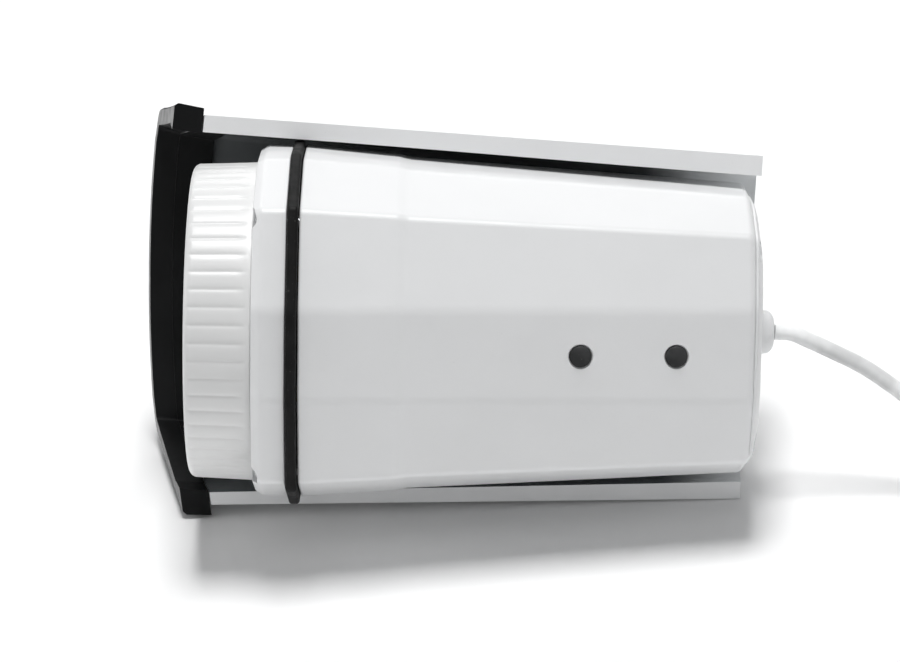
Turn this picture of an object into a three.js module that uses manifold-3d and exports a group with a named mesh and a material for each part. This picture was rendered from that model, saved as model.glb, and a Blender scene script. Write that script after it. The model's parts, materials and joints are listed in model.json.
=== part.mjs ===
// Bullet security camera with a sliding sunshield, lying on one side wall of the shield. Millimetres.
// The camera is modelled in its own frame: x runs from the window to the cable along the optical axis,
// with 0 at the front face of the housing, +y points to the sunshield and z goes across.
// The last section turns it onto its side and lays its cable on the same surface.
import * as THREE from "three";
import { mergeVertices } from "three/addons/utils/BufferGeometryUtils.js";
import Module from "manifold-3d";

const wasm = await Module();
wasm.setup();

// ---------------------------------------------------------------- driving dimensions
const GAP = 0.3;
const FLAT_HALF = 12.4; // half the width of each flat facet, the same all along the body
const CORNER_SHARE = 0.72; // where the corner edges sit between the flat's edge and the square corner

const HOUSING_FRONT_HALF = 47.1;
const HOUSING_STEP_X = 27.7;
const HOUSING_STEP_HALF = 44.9;
const HOUSING_STEP_DEPTH = 0.6;
const HOUSING_REAR_X = 124;
const HOUSING_REAR_HALF = 38.6;
const HOUSING_WALL = 2.4;

const GASKET_FRONT_X = -4.2;
const GASKET_PROUD = 2.3;
const COLLAR_FRONT_X = -12.7;
const NECK_FRONT_X = -23.5;
const NECK_RADIUS = 42.6;
const NECK_BORE = 38;

const RING_FRONT_X = -31.2;
const RING_REAR_X = -13;
const RING_FRONT_RADIUS = 45.3;
const RING_REAR_RADIUS = 45.9;
const RING_BORE = 43;
const RING_WINDOW = 37.2;
const RING_GROOVES = 56;
const GLASS_THICKNESS = 3;
const GLASS_RADIUS = 39.8;

const COLLAR_SCREW_OFFSET = 34.4; // from the axis along both y and z
const REAR_SCREW_OFFSET = 27;
const REAR_COVER_HALF = 36.6;
const REAR_COVER_FRONT_X = 125.2;
const REAR_COVER_REAR_X = 127.6;

const MOUNT_HOLE_X = [76.5, 102.6];
const MOUNT_HOLE_RADIUS = 3.15; // 1/4 inch thread, as a plain hole of its outer diameter
const MOUNT_HOLE_DEPTH = 7.5;
const PLUG_RADIUS = 3;
const PLUG_PROUD = 0.7;
const PLUG_LENGTH = 6.6;

const SHIELD_TOP = 53.5; // outer face of the top panel above the axis, in the shield's tilted frame
const SHIELD_SHEET = 2;
const SHIELD_LIP_Y = 7.2;
const SHIELD_LIP_HALF = 57;
const SHIELD_LIP_THICK = 4.9;
const SHIELD_SIDE_LEAN = THREE.MathUtils.degToRad(13.4);
const SHIELD_CORNER_RADIUS = 4.5;
const SHIELD_FRONT_X = -27.9;
const SHIELD_REAR_X = 125;
const SHIELD_NARROWING = 0.05; // of half-width per mm of length
const SHIELD_SLANT = 0.24; // how far the visor leads the lips, per mm of height
const SHIELD_BOW = 4;
const SHIELD_BOLT_X = [36, 92];
const SHIELD_SCREW_FLANGE = 5.5;
const SHIELD_TRAVEL = [-10, 15];
const BEZEL_LENGTH = 8.4;
const BEZEL_PROUD = 2.8;
const BEZEL_FLANGE_LENGTH = 8;

const GLAND_Y = -4.5;
const GLAND_RADIUS = 6.4;
const GLAND_TIP_X = 132;
const CABLE_DIAMETER = 4.4;

// The top facet of the housing falls towards the rear, and the shield follows it.
const HOUSING_TAPER = Math.atan(
  (HOUSING_STEP_HALF - HOUSING_STEP_DEPTH - HOUSING_REAR_HALF) / (HOUSING_REAR_X - HOUSING_STEP_X),
);

// ---------------------------------------------------------------- materials
function paint(color, roughness, metalness = 0) {
  return new THREE.MeshStandardMaterial({ color, roughness, metalness });
}
const MATERIALS = {
  housingPaint: paint(0xf1f2f3, 0.42),
  ringPlastic: paint(0xf3f3f2, 0.36),
  shieldPaint: paint(0xe9eaeb, 0.45),
  blackPlastic: paint(0x161718, 0.5),
  blackRubber: paint(0x1b1c1c, 0.7),
  steel: paint(0xa9abad, 0.35, 1),
  brass: paint(0xb08d4f, 0.35, 1),
  circuitBoard: paint(0x1d5a34, 0.5),
  darkChip: paint(0x202225, 0.45),
  clearGlass: paint(0xdfe8ea, 0.05),
  coatedGlass: paint(0x2a2036, 0.05),
  filterGlass: paint(0x86b9c4, 0.05),
  ledLens: paint(0xd7dde2, 0.1),
  copperCoil: paint(0xb4652e, 0.4, 0.6),
  cableSheath: paint(0xeef0f0, 0.5),
};

// ---------------------------------------------------------------- geometry helpers
function solidOf(geometry) {
  const bare = geometry.clone();
  bare.deleteAttribute("normal");
  bare.deleteAttribute("uv");
  const merged = mergeVertices(bare, 1e-4);
  const vertProperties = new Float32Array(merged.attributes.position.array);
  const triVerts = new Uint32Array(merged.index.array);
  const made = new wasm.Manifold(new wasm.Mesh({ numProp: 3, vertProperties, triVerts }));
  if (made.volume() >= 0) return made;
  for (let i = 0; i < triVerts.length; i += 3) {
    [triVerts[i + 1], triVerts[i + 2]] = [triVerts[i + 2], triVerts[i + 1]];
  }
  return new wasm.Manifold(new wasm.Mesh({ numProp: 3, vertProperties, triVerts }));
}

function geometryOf(solid) {
  const { vertProperties, triVerts } = solid.getMesh();
  const geometry = new THREE.BufferGeometry();
  geometry.setAttribute("position", new THREE.BufferAttribute(new Float32Array(vertProperties), 3));
  geometry.setIndex(new THREE.BufferAttribute(new Uint32Array(triVerts), 1));
  geometry.computeVertexNormals();
  return geometry;
}

function join(first, ...others) {
  return geometryOf(others.reduce((sum, next) => sum.add(solidOf(next)), solidOf(first)));
}

function cut(first, ...tools) {
  return geometryOf(tools.reduce((left, tool) => left.subtract(solidOf(tool)), solidOf(first)));
}

function common(first, second) {
  return geometryOf(solidOf(first).intersect(solidOf(second)));
}

const EXTRUDE_TO_X = new THREE.Matrix4().makeBasis(
  new THREE.Vector3(0, 1, 0),
  new THREE.Vector3(0, 0, 1),
  new THREE.Vector3(1, 0, 0),
);
const LATHE_TO_X = new THREE.Matrix4().makeBasis(
  new THREE.Vector3(0, 0, 1),
  new THREE.Vector3(1, 0, 0),
  new THREE.Vector3(0, 1, 0),
);

// A body of revolution about the x axis; the profile is a list of [x, radius].
function turned(profile, segments = 48) {
  const points = profile.map(([x, radius]) => new THREE.Vector2(radius, x));
  return new THREE.LatheGeometry(points, segments).applyMatrix4(LATHE_TO_X);
}

// A hollow body of revolution: the profile closes on itself.
function turnedRing(profile, segments = 48) {
  return turned([...profile, profile[0]], segments);
}

function tube(x0, x1, bore, radius, segments = 48) {
  return turnedRing([[x0, bore], [x0, radius], [x1, radius], [x1, bore]], segments);
}

function rod(x0, x1, radius, segments = 20) {
  return turned([[x0, 0], [x0, radius], [x1, radius], [x1, 0]], segments);
}

function block(x0, x1, y0, y1, z0, z1) {
  const geometry = new THREE.BoxGeometry(x1 - x0, y1 - y0, z1 - z0);
  return geometry.translate((x0 + x1) / 2, (y0 + y1) / 2, (z0 + z1) / 2);
}

function fourCorners(offset) {
  return [[1, 1], [-1, 1], [-1, -1], [1, -1]].map(([a, b]) => [a * offset, b * offset]);
}

// A screw along x: its head starts at x and its shank runs to the rear.
function screw(headX, headLength, headRadius, shankEnd, shankRadius) {
  const body = turned(
    [
      [headX, 0],
      [headX, headRadius * 0.7],
      [headX + headLength * 0.45, headRadius],
      [headX + headLength, headRadius],
      [headX + headLength, shankRadius],
      [shankEnd - 0.8, shankRadius],
      [shankEnd, shankRadius * 0.5],
      [shankEnd, 0],
    ],
    12,
  );
  const recess = [0, 1].map((turn) => {
    const arm = block(headX - 1, headX + headLength * 0.6, -0.4, 0.4, -headRadius * 0.55, headRadius * 0.55);
    return arm.rotateX((turn * Math.PI) / 2);
  });
  return cut(body, ...recess);
}

// ---------------------------------------------------------------- the twelve-sided body section
function facetOutline(half) {
  const corner = FLAT_HALF + (half - FLAT_HALF) * CORNER_SHARE;
  const outline = [];
  let quarter = [[half, FLAT_HALF], [corner, corner], [FLAT_HALF, half]];
  for (let turn = 0; turn < 4; turn += 1) {
    outline.push(...quarter);
    quarter = quarter.map(([y, z]) => [-z, y]);
  }
  return outline;
}

// The section swept through [x, half-width] stations. The flats keep their width, so every facet stays flat.
function facetedBody(stations) {
  const first = stations[0][1];
  const shape = new THREE.Shape(facetOutline(first).map(([y, z]) => new THREE.Vector2(y, z)));
  const steps = stations.length - 1;
  const geometry = new THREE.ExtrudeGeometry(shape, { depth: steps, steps, bevelEnabled: false });
  geometry.applyMatrix4(EXTRUDE_TO_X);
  const position = geometry.attributes.position;
  for (let i = 0; i < position.count; i += 1) {
    const [x, half] = stations[Math.round(position.getX(i))];
    const scale = (half - FLAT_HALF) / (first - FLAT_HALF);
    const resize = (v) => Math.sign(v) * (FLAT_HALF + (Math.abs(v) - FLAT_HALF) * scale);
    position.setXYZ(i, x, resize(position.getY(i)), resize(position.getZ(i)));
  }
  return geometry;
}

function rearHalfAt(x) {
  const share = (x - HOUSING_STEP_X) / (HOUSING_REAR_X - HOUSING_STEP_X);
  return THREE.MathUtils.lerp(HOUSING_STEP_HALF - HOUSING_STEP_DEPTH, HOUSING_REAR_HALF, share);
}

// ---------------------------------------------------------------- groups
const part = new THREE.Group();
const camera = new THREE.Group(); // everything in the camera's own frame
const shield = new THREE.Group(); // the sunshield's frame, tilted with the housing's top facet
shield.rotation.z = -HOUSING_TAPER;
camera.add(shield);
part.add(camera);

function piece(name, geometry, material, parent = camera) {
  const mesh = new THREE.Mesh(geometry, material);
  mesh.name = name;
  parent.add(mesh);
  return mesh;
}

// ---------------------------------------------------------------- housing
function shieldBoltTool(x, radius, y0, y1, segments = 20) {
  const geometry = new THREE.CylinderGeometry(radius, radius, y1 - y0, segments);
  return geometry.translate(x, (y0 + y1) / 2, 0);
}

function intoCameraFrame(geometry) {
  return geometry.rotateZ(-HOUSING_TAPER);
}

// A tool that stands square to the bottom facet at x, drawn as a lathe along its own x axis.
function onBottomFacet(geometry, x) {
  return geometry
    .rotateZ(Math.PI / 2)
    .rotateZ(HOUSING_TAPER)
    .translate(x, -rearHalfAt(x), 0);
}

function mainHousing() {
  const frontBlock = facetedBody([
    [0, HOUSING_FRONT_HALF - 0.5],
    [0.5, HOUSING_FRONT_HALF],
    [HOUSING_STEP_X, HOUSING_STEP_HALF],
  ]);
  const rearBlock = facetedBody([
    [HOUSING_STEP_X - 8, rearHalfAt(HOUSING_STEP_X - 8)],
    [HOUSING_REAR_X - 2.2, rearHalfAt(HOUSING_REAR_X - 2.2)],
    [HOUSING_REAR_X - 1.1, rearHalfAt(HOUSING_REAR_X) - 0.3],
    [HOUSING_REAR_X - 0.3, rearHalfAt(HOUSING_REAR_X) - 0.9],
    [HOUSING_REAR_X, rearHalfAt(HOUSING_REAR_X) - 1.7],
  ]);
  const outside = join(frontBlock, rearBlock);
  const cavity = facetedBody([
    [-1, HOUSING_FRONT_HALF - HOUSING_WALL],
    [HOUSING_STEP_X, HOUSING_STEP_HALF - HOUSING_STEP_DEPTH - HOUSING_WALL],
    [HOUSING_REAR_X + 1, HOUSING_REAR_HALF - HOUSING_WALL - 0.6],
  ]);
  const bosses = fourCorners(COLLAR_SCREW_OFFSET).map(([y, z]) => rod(0.01, 15, 4.4, 14).translate(0, y, z));
  const rearBosses = fourCorners(REAR_SCREW_OFFSET).map(([y, z]) => {
    return rod(108, HOUSING_REAR_X - 0.01, 4.9, 14).translate(0, y, z);
  });
  const bottomPad = block(MOUNT_HOLE_X[0] - 9, MOUNT_HOLE_X[1] + 9, -44, -31, -9, 9);
  const inside = join(bosses[0], ...bosses.slice(1), ...rearBosses, bottomPad);
  const shieldBosses = SHIELD_BOLT_X.map((x) => {
    return intoCameraFrame(shieldBoltTool(x, 6.5, 40, SHIELD_TOP - SHIELD_SHEET - GAP, 24));
  });
  const collarHoles = fourCorners(COLLAR_SCREW_OFFSET).map(([y, z]) => {
    return rod(-1, 13, 1.8, 8).translate(0, y, z);
  });
  const rearHoles = fourCorners(REAR_SCREW_OFFSET).map(([y, z]) => {
    return rod(112, HOUSING_REAR_X + 1, 1.8, 8).translate(0, y, z);
  });
  const mountHoles = MOUNT_HOLE_X.map((x) => {
    const rim = MOUNT_HOLE_RADIUS + 0.45;
    const tool = turned(
      [[-1, 0], [-1, rim], [0, rim], [0.5, MOUNT_HOLE_RADIUS], [MOUNT_HOLE_DEPTH, MOUNT_HOLE_RADIUS],
        [MOUNT_HOLE_DEPTH, 0]],
      24,
    );
    return onBottomFacet(tool, x);
  });
  const shieldHoles = SHIELD_BOLT_X.map((x) => {
    return intoCameraFrame(shieldBoltTool(x, 2.25, SHIELD_TOP - SHIELD_SHEET - 8, SHIELD_TOP, 14));
  });
  const shell = join(cut(outside, cavity), common(outside, inside), ...shieldBosses);
  return cut(shell, ...collarHoles, ...rearHoles, ...mountHoles, ...shieldHoles);
}
piece("main_housing", mainHousing(), MATERIALS.housingPaint);

// A domed rubber plug closes each bracket hole; it comes out when a bracket is fitted.
MOUNT_HOLE_X.forEach((x, i) => {
  const plug = turned(
    [
      [-PLUG_PROUD, 0],
      [-PLUG_PROUD * 0.9, PLUG_RADIUS * 0.5],
      [-PLUG_PROUD * 0.5, PLUG_RADIUS * 0.87],
      [0, PLUG_RADIUS],
      [0.9, PLUG_RADIUS],
      [1.3, PLUG_RADIUS - 0.4],
      [PLUG_LENGTH - 1, PLUG_RADIUS - 0.5],
      [PLUG_LENGTH, PLUG_RADIUS * 0.5],
      [PLUG_LENGTH, 0],
    ],
    24,
  );
  piece(`bracket_hole_plug_${i + 1}`, onBottomFacet(plug, x), MATERIALS.blackRubber);
});

// ---------------------------------------------------------------- front collar, gasket, ring and window
function frontCollar() {
  const flange = facetedBody([
    [COLLAR_FRONT_X, HOUSING_FRONT_HALF - 1.3],
    [COLLAR_FRONT_X + 0.9, HOUSING_FRONT_HALF - 0.6],
    [COLLAR_FRONT_X + 2.1, HOUSING_FRONT_HALF],
    [GASKET_FRONT_X - GAP, HOUSING_FRONT_HALF],
  ]);
  const neck = rod(NECK_FRONT_X, COLLAR_FRONT_X + 1, NECK_RADIUS, 52);
  const bore = rod(NECK_FRONT_X - 1, 1, NECK_BORE, 52);
  const bosses = [-1, 1].map((side) => rod(-7.9, GASKET_FRONT_X - GAP, 3.6, 14).translate(0, 0, side * 34.5));
  const bossHoles = [-1, 1].map((side) => rod(-7, 1, 1.5, 10).translate(0, 0, side * 34.5));
  const recesses = fourCorners(COLLAR_SCREW_OFFSET).map(([y, z]) => {
    return rod(COLLAR_FRONT_X - 1, COLLAR_FRONT_X + 3.4, 3.3, 18).translate(0, y, z);
  });
  const holes = fourCorners(COLLAR_SCREW_OFFSET).map(([y, z]) => rod(-14, 1, 1.8, 8).translate(0, y, z));
  const ring = cut(join(flange, neck), bore);
  return cut(join(ring, ...bosses), ...bossHoles, ...recesses, ...holes);
}
piece("front_collar", frontCollar(), MATERIALS.housingPaint);

function collarGasket() {
  const plate = facetedBody([
    [GASKET_FRONT_X, HOUSING_FRONT_HALF + GASKET_PROUD - 0.5],
    [GASKET_FRONT_X + 0.5, HOUSING_FRONT_HALF + GASKET_PROUD],
    [-GAP - 0.5, HOUSING_FRONT_HALF + GASKET_PROUD],
    [-GAP, HOUSING_FRONT_HALF + GASKET_PROUD - 0.5],
  ]);
  const holes = fourCorners(COLLAR_SCREW_OFFSET).map(([y, z]) => rod(-6, 1, 1.8, 8).translate(0, y, z));
  return cut(plate, rod(-6, 1, 41.5, 40), ...holes);
}
piece("collar_gasket", collarGasket(), MATERIALS.blackRubber);

fourCorners(COLLAR_SCREW_OFFSET).forEach(([y, z], i) => {
  const geometry = screw(COLLAR_FRONT_X + 0.6, 2.4, 2.8, 11, 1.5).translate(0, y, z);
  piece(`collar_screw_${i + 1}`, geometry, MATERIALS.steel);
});

function frontRing() {
  const round = 1.6;
  const body = turnedRing(
    [
      [RING_FRONT_X, RING_WINDOW + 1],
      [RING_FRONT_X, RING_FRONT_RADIUS - round * 1.6],
      [RING_FRONT_X + 0.4, RING_FRONT_RADIUS - round * 0.7],
      [RING_FRONT_X + 1.1, RING_FRONT_RADIUS - round * 0.2],
      [RING_FRONT_X + 2.4, RING_FRONT_RADIUS],
      [RING_REAR_X - 0.3, RING_REAR_RADIUS],
      [RING_REAR_X, RING_REAR_RADIUS - 0.3],
      [RING_REAR_X, RING_BORE],
      [RING_FRONT_X + 2.4, RING_BORE],
      [RING_FRONT_X + 2.4, RING_WINDOW],
      [RING_FRONT_X + 1, RING_WINDOW],
    ],
    RING_GROOVES,
  );
  const grooves = Array.from({ length: RING_GROOVES }, (_, i) => {
    const groove = new THREE.CylinderGeometry(0.6, 0.6, 15.6, 5).rotateZ(Math.PI / 2);
    groove.translate(RING_FRONT_X + 8.6, RING_FRONT_RADIUS + 0.4, 0);
    return groove.rotateX(((i + 0.5) / RING_GROOVES) * 2 * Math.PI);
  });
  return cut(body, ...grooves);
}
piece("front_ring", frontRing(), MATERIALS.ringPlastic);

const GLASS_FRONT_X = RING_FRONT_X + 2.4 + GAP;
const glassProfile = [
  [GLASS_FRONT_X, 0],
  [GLASS_FRONT_X, GLASS_RADIUS - 0.5],
  [GLASS_FRONT_X + 0.5, GLASS_RADIUS],
  [GLASS_FRONT_X + GLASS_THICKNESS, GLASS_RADIUS],
  [GLASS_FRONT_X + GLASS_THICKNESS, 0],
];
piece("window_glass", turned(glassProfile, 48), MATERIALS.clearGlass);
piece(
  "window_gasket",
  tube(GLASS_FRONT_X + GLASS_THICKNESS + GAP, NECK_FRONT_X - GAP, 38.2, 41, 40),
  MATERIALS.blackRubber,
);

// ---------------------------------------------------------------- lamp board behind the window
const LAMP_BOARD_X = -10.2;
const LAMP_RADIUS = 25;
piece(
  "lamp_board",
  cut(rod(LAMP_BOARD_X, LAMP_BOARD_X + 1.6, 36.8, 48), rod(-13, -5, 14.3, 32)),
  MATERIALS.circuitBoard,
);
for (let i = 0; i < 4; i += 1) {
  const base = block(LAMP_BOARD_X - 2.3, LAMP_BOARD_X - GAP, -5, 5, -5, 5);
  const dome = new THREE.SphereGeometry(4.3, 14, 6).scale(0.8, 1, 1).translate(LAMP_BOARD_X - 2.6, 0, 0);
  const lamp = join(base, common(dome, block(-20, LAMP_BOARD_X - GAP, -6, 6, -6, 6)));
  const angle = ((i + 0.5) / 4) * 2 * Math.PI;
  piece(
    `infrared_lamp_${i + 1}`,
    lamp.translate(0, LAMP_RADIUS, 0).rotateX(angle),
    MATERIALS.ledLens,
  );
}
piece(
  "light_sensor",
  turned([[-13.4, 0], [-13.4, 2.1], [-12.9, 2.6], [LAMP_BOARD_X - GAP, 2.6], [LAMP_BOARD_X - GAP, 0]], 18)
    .translate(0, 26, 0),
  MATERIALS.ledLens,
);
piece(
  "lens_shroud",
  turnedRing(
    [[GLASS_FRONT_X + GLASS_THICKNESS + GAP, 12], [GLASS_FRONT_X + GLASS_THICKNESS + GAP, 13.6],
      [-9, 14], [-9, 12]],
    32,
  ),
  MATERIALS.blackRubber,
);

// ---------------------------------------------------------------- lens, holder and filter switch
const HOLDER_FRONT_X = -4;
const FILTER_X = 12.4; // front face of the filter carriage
const CARRIAGE_TRAVEL = 6;
const ROTOR_Y = -9.3;
const LEVER_RADIUS = 5;
const SENSOR_BOARD_X = 20;
function lensBarrel() {
  const body = turned(
    [
      [-18, 0],
      [-18, 6.2],
      [-17.4, 8.2],
      [-9.4, 8.2],
      [-8.6, 7.4],
      [-8.6, 5.9],
      [9.4, 5.9],
      [10.2, 5.2],
      [10.2, 0],
    ],
    28,
  );
  return cut(body, turned([[-19, 0], [-19, 6], [-15.4, 4.8], [-15.4, 0]], 28));
}
piece("lens_barrel", lensBarrel(), MATERIALS.blackPlastic);
piece(
  "lens_front_element",
  turned([[-17.3, 0], [-17.1, 2], [-16.5, 3.6], [-15.7, 4.5], [-15.1 - 0.6, 0]], 28),
  MATERIALS.coatedGlass,
);

function lensHolder() {
  const collar = tube(HOLDER_FRONT_X, 11, 6.2, 8.4, 32);
  const base = block(10.4, 18.2, -13, 13, -14.5, 14.5);
  const lightPath = block(9, 19, -4.4, 4.4, -4.4, 4.4);
  const channel = block(FILTER_X - 0.4, FILTER_X + 1.4, -6.4, 6.4, -18, 18);
  const chipRoom = block(16.4, 19, -7, 7, -7, 7);
  const rotorRoom = rod(FILTER_X + 1.2, 19, 4, 20).translate(0, ROTOR_Y, 0);
  const leverRoom = block(FILTER_X + 1, FILTER_X + 3, ROTOR_Y, -3, -5, 5);
  const coilRoom = block(13.6, 19, -14, -7.2, 4.6, 13.6);
  const solid = join(collar, base);
  return cut(solid, rod(-6, 11.8, 6.2, 32), lightPath, channel, chipRoom, rotorRoom, leverRoom, coilRoom);
}
piece("lens_holder", lensHolder(), MATERIALS.blackPlastic);

// The carriage slides across in the holder's channel and brings one of two glasses behind the lens.
function filterCarriage() {
  const plate = block(FILTER_X, FILTER_X + 1, -6, 6, -CARRIAGE_TRAVEL - 5.6, 5.6);
  const windows = [0, -CARRIAGE_TRAVEL].map((z) => {
    return block(FILTER_X - 1, FILTER_X + 2, -2.6, 2.6, z - 2.6, z + 2.6);
  });
  const forkZ = -CARRIAGE_TRAVEL / 2;
  const fork = block(FILTER_X - 1, FILTER_X + 2, -7, -3.3, forkZ - 0.8, forkZ + 0.8);
  return cut(plate, ...windows, fork);
}
piece("filter_carriage", filterCarriage(), MATERIALS.blackPlastic);
["infrared_cut_filter", "clear_filter"].forEach((name, i) => {
  const z = -i * CARRIAGE_TRAVEL;
  const glass = block(FILTER_X + 0.2, FILTER_X + 0.8, -2.3, 2.3, z - 2.3, z + 2.3);
  piece(name, glass, i === 0 ? MATERIALS.filterGlass : MATERIALS.clearGlass);
});

// The rotor's pin sits in the carriage's fork and pushes it across.
function switchRotor() {
  const body = rod(FILTER_X + 1.7, 17.9, 3.3, 20);
  const arm = block(FILTER_X + 1.7, FILTER_X + 2.5, 0, LEVER_RADIUS, -0.7, 0.7);
  const pin = rod(FILTER_X - 0.1, FILTER_X + 2.5, 0.5, 10).translate(0, LEVER_RADIUS, 0);
  const restAngle = -Math.asin(CARRIAGE_TRAVEL / 2 / LEVER_RADIUS);
  return join(body, arm, pin).rotateX(restAngle).translate(0, ROTOR_Y, 0);
}
piece("switch_rotor", switchRotor(), MATERIALS.steel);
piece(
  "switch_coil",
  turned([[5, 0], [5, 2.2], [5.8, 2.2], [5.8, 1.7], [12.2, 1.7], [12.2, 2.2], [13, 2.2], [13, 0]], 18)
    .rotateY(-Math.PI / 2)
    .translate(16, -10.2, 0),
  MATERIALS.copperCoil,
);

piece(
  "image_sensor",
  cut(block(17.2, SENSOR_BOARD_X - GAP, -6, 6, -6, 6), block(16, 17.6, -4.5, 4.5, -4.5, 4.5)),
  MATERIALS.darkChip,
);

// ---------------------------------------------------------------- boards and their carrier
const CHASSIS_X = -3.2;
const CHASSIS_THICKNESS = 1.5;
const CHASSIS_SCREW_Z = 34.5;
const BOARD_THICKNESS = 1.6;
const BOARD_HALF = 20;
const BOARD_POST = 17;
const MAIN_BOARD_X = 34;
piece(
  "chassis_plate",
  cut(
    rod(CHASSIS_X, CHASSIS_X + CHASSIS_THICKNESS, 37.2, 48),
    rod(-5, 1, 9.2, 28),
    ...[-1, 1].map((side) => rod(-5, 1, 1.8, 12).translate(0, 0, side * CHASSIS_SCREW_Z)),
  ),
  MATERIALS.steel,
);
[-1, 1].forEach((side, i) => {
  const headLength = 1.6;
  const headX = CHASSIS_X + CHASSIS_THICKNESS + GAP + headLength;
  const geometry = screw(0, headLength, 2.4, 6.2, 1.2).rotateY(Math.PI);
  piece(`chassis_screw_${i + 1}`, geometry.translate(headX, 0, side * CHASSIS_SCREW_Z), MATERIALS.steel);
});

function circuitBoard(x) {
  return block(x, x + BOARD_THICKNESS, -BOARD_HALF, BOARD_HALF, -BOARD_HALF, BOARD_HALF);
}
piece("sensor_board", circuitBoard(SENSOR_BOARD_X), MATERIALS.circuitBoard);
piece("main_board", circuitBoard(MAIN_BOARD_X), MATERIALS.circuitBoard);
fourCorners(BOARD_POST).forEach(([y, z], i) => {
  const post = rod(CHASSIS_X + CHASSIS_THICKNESS + GAP, SENSOR_BOARD_X - GAP, 2.4, 6);
  piece(`sensor_board_post_${i + 1}`, post.translate(0, y, z), MATERIALS.brass);
});
[[1, 1], [-1, -1]].forEach(([a, b], i) => {
  const post = rod(SENSOR_BOARD_X + BOARD_THICKNESS + GAP, MAIN_BOARD_X - GAP, 2.4, 6);
  piece(`main_board_post_${i + 1}`, post.translate(0, a * BOARD_POST, b * BOARD_POST), MATERIALS.brass);
});
const MAIN_BOARD_REAR_X = MAIN_BOARD_X + BOARD_THICKNESS + GAP;
piece("processor", block(MAIN_BOARD_REAR_X, MAIN_BOARD_REAR_X + 1.6, 0, 13, -6.5, 6.5), MATERIALS.darkChip);
const SOCKET_DEPTH = 7;
piece(
  "board_connector",
  cut(
    block(MAIN_BOARD_REAR_X, MAIN_BOARD_REAR_X + SOCKET_DEPTH, -16, -8, -9, 9),
    block(MAIN_BOARD_REAR_X + 2, MAIN_BOARD_REAR_X + SOCKET_DEPTH + 1, -14.8, -9.2, -7.8, 7.8),
  ),
  MATERIALS.cableSheath,
);

// ---------------------------------------------------------------- rear cover and cable gland
function rearCover() {
  const plate = facetedBody([
    [REAR_COVER_FRONT_X, REAR_COVER_HALF - 0.3],
    [REAR_COVER_FRONT_X + 0.3, REAR_COVER_HALF],
    [REAR_COVER_REAR_X - 0.9, REAR_COVER_HALF - 0.3],
    [REAR_COVER_REAR_X - 0.3, REAR_COVER_HALF - 0.9],
    [REAR_COVER_REAR_X, REAR_COVER_HALF - 1.9],
  ]);
  const recesses = fourCorners(REAR_SCREW_OFFSET).map(([y, z]) => {
    return rod(REAR_COVER_REAR_X - 1.6, REAR_COVER_REAR_X + 1, 3.1, 18).translate(0, y, z);
  });
  const holes = fourCorners(REAR_SCREW_OFFSET).map(([y, z]) => rod(120, 130, 1.8, 8).translate(0, y, z));
  const glandHole = rod(120, 130, 4.6, 24).translate(0, GLAND_Y, 0);
  return cut(plate, ...recesses, ...holes, glandHole);
}
piece("rear_cover", rearCover(), MATERIALS.housingPaint);

function rearGasket() {
  const half = REAR_COVER_HALF - 0.5;
  const plate = facetedBody([[HOUSING_REAR_X + GAP, half], [REAR_COVER_FRONT_X - GAP, half]]);
  const holes = fourCorners(REAR_SCREW_OFFSET).map(([y, z]) => rod(120, 130, 1.8, 8).translate(0, y, z));
  return cut(plate, rod(120, 130, 33, 32), ...holes);
}
piece("rear_gasket", rearGasket(), MATERIALS.blackRubber);

fourCorners(REAR_SCREW_OFFSET).forEach(([y, z], i) => {
  const geometry = screw(0, 1.3, 2.8, 12.5, 1.5).rotateY(Math.PI).translate(REAR_COVER_REAR_X, y, z);
  piece(`rear_cover_screw_${i + 1}`, geometry, MATERIALS.steel);
});

const GLAND_BORE = CABLE_DIAMETER / 2 + GAP;
const GLAND_STEM_X = 119;
function cableGland() {
  const base = REAR_COVER_REAR_X + GAP;
  return turnedRing(
    [
      [GLAND_STEM_X, GLAND_BORE],
      [GLAND_STEM_X, 4.3],
      [base, 4.3],
      [base, GLAND_RADIUS],
      [base + 1.4, GLAND_RADIUS - 0.3],
      [base + 2.7, GLAND_RADIUS - 1.2],
      [GLAND_TIP_X - 0.4, GLAND_RADIUS - 2.5],
      [GLAND_TIP_X, GLAND_RADIUS - 3.3],
      [GLAND_TIP_X, GLAND_BORE],
    ],
    28,
  ).translate(0, GLAND_Y, 0);
}
piece("cable_gland", cableGland(), MATERIALS.housingPaint);
const glandSeal = tube(123.8, REAR_COVER_FRONT_X - GAP, 4.6, 6.8, 24);
piece("gland_seal", glandSeal.translate(0, GLAND_Y, 0), MATERIALS.blackRubber);
const glandNut = cut(rod(120.3, 123.5, 7.6, 6), rod(119, 125, 4.6, 20));
piece("gland_nut", glandNut.translate(0, GLAND_Y, 0), MATERIALS.brass);

// The cable inside the housing, from the gland's tip to the board connector.
const INNER_LEAD_ROUTE = [
  [GLAND_TIP_X - GAP, GLAND_Y, 0],
  [GLAND_STEM_X - 4, GLAND_Y, 0],
  [100, -2, 0],
  [78, 4, 0],
  [60, -4, 0],
  [50, -11, 0],
  [MAIN_BOARD_REAR_X + 2.6, -12, 0],
];
function roundSection(diameter, sides) {
  const shape = new THREE.Shape();
  for (let i = 0; i < sides; i += 1) {
    const angle = (i / sides) * 2 * Math.PI;
    const point = [(Math.cos(angle) * diameter) / 2, (Math.sin(angle) * diameter) / 2];
    if (i === 0) shape.moveTo(...point);
    else shape.lineTo(...point);
  }
  shape.closePath();
  return shape;
}
function tubeAlong(route, diameter, steps, sides = 8) {
  const path = new THREE.CatmullRomCurve3(route.map((point) => new THREE.Vector3(...point)));
  return new THREE.ExtrudeGeometry(roundSection(diameter, sides), { steps, extrudePath: path });
}
piece("inner_lead", tubeAlong(INNER_LEAD_ROUTE, CABLE_DIAMETER, 14), MATERIALS.cableSheath);

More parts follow.
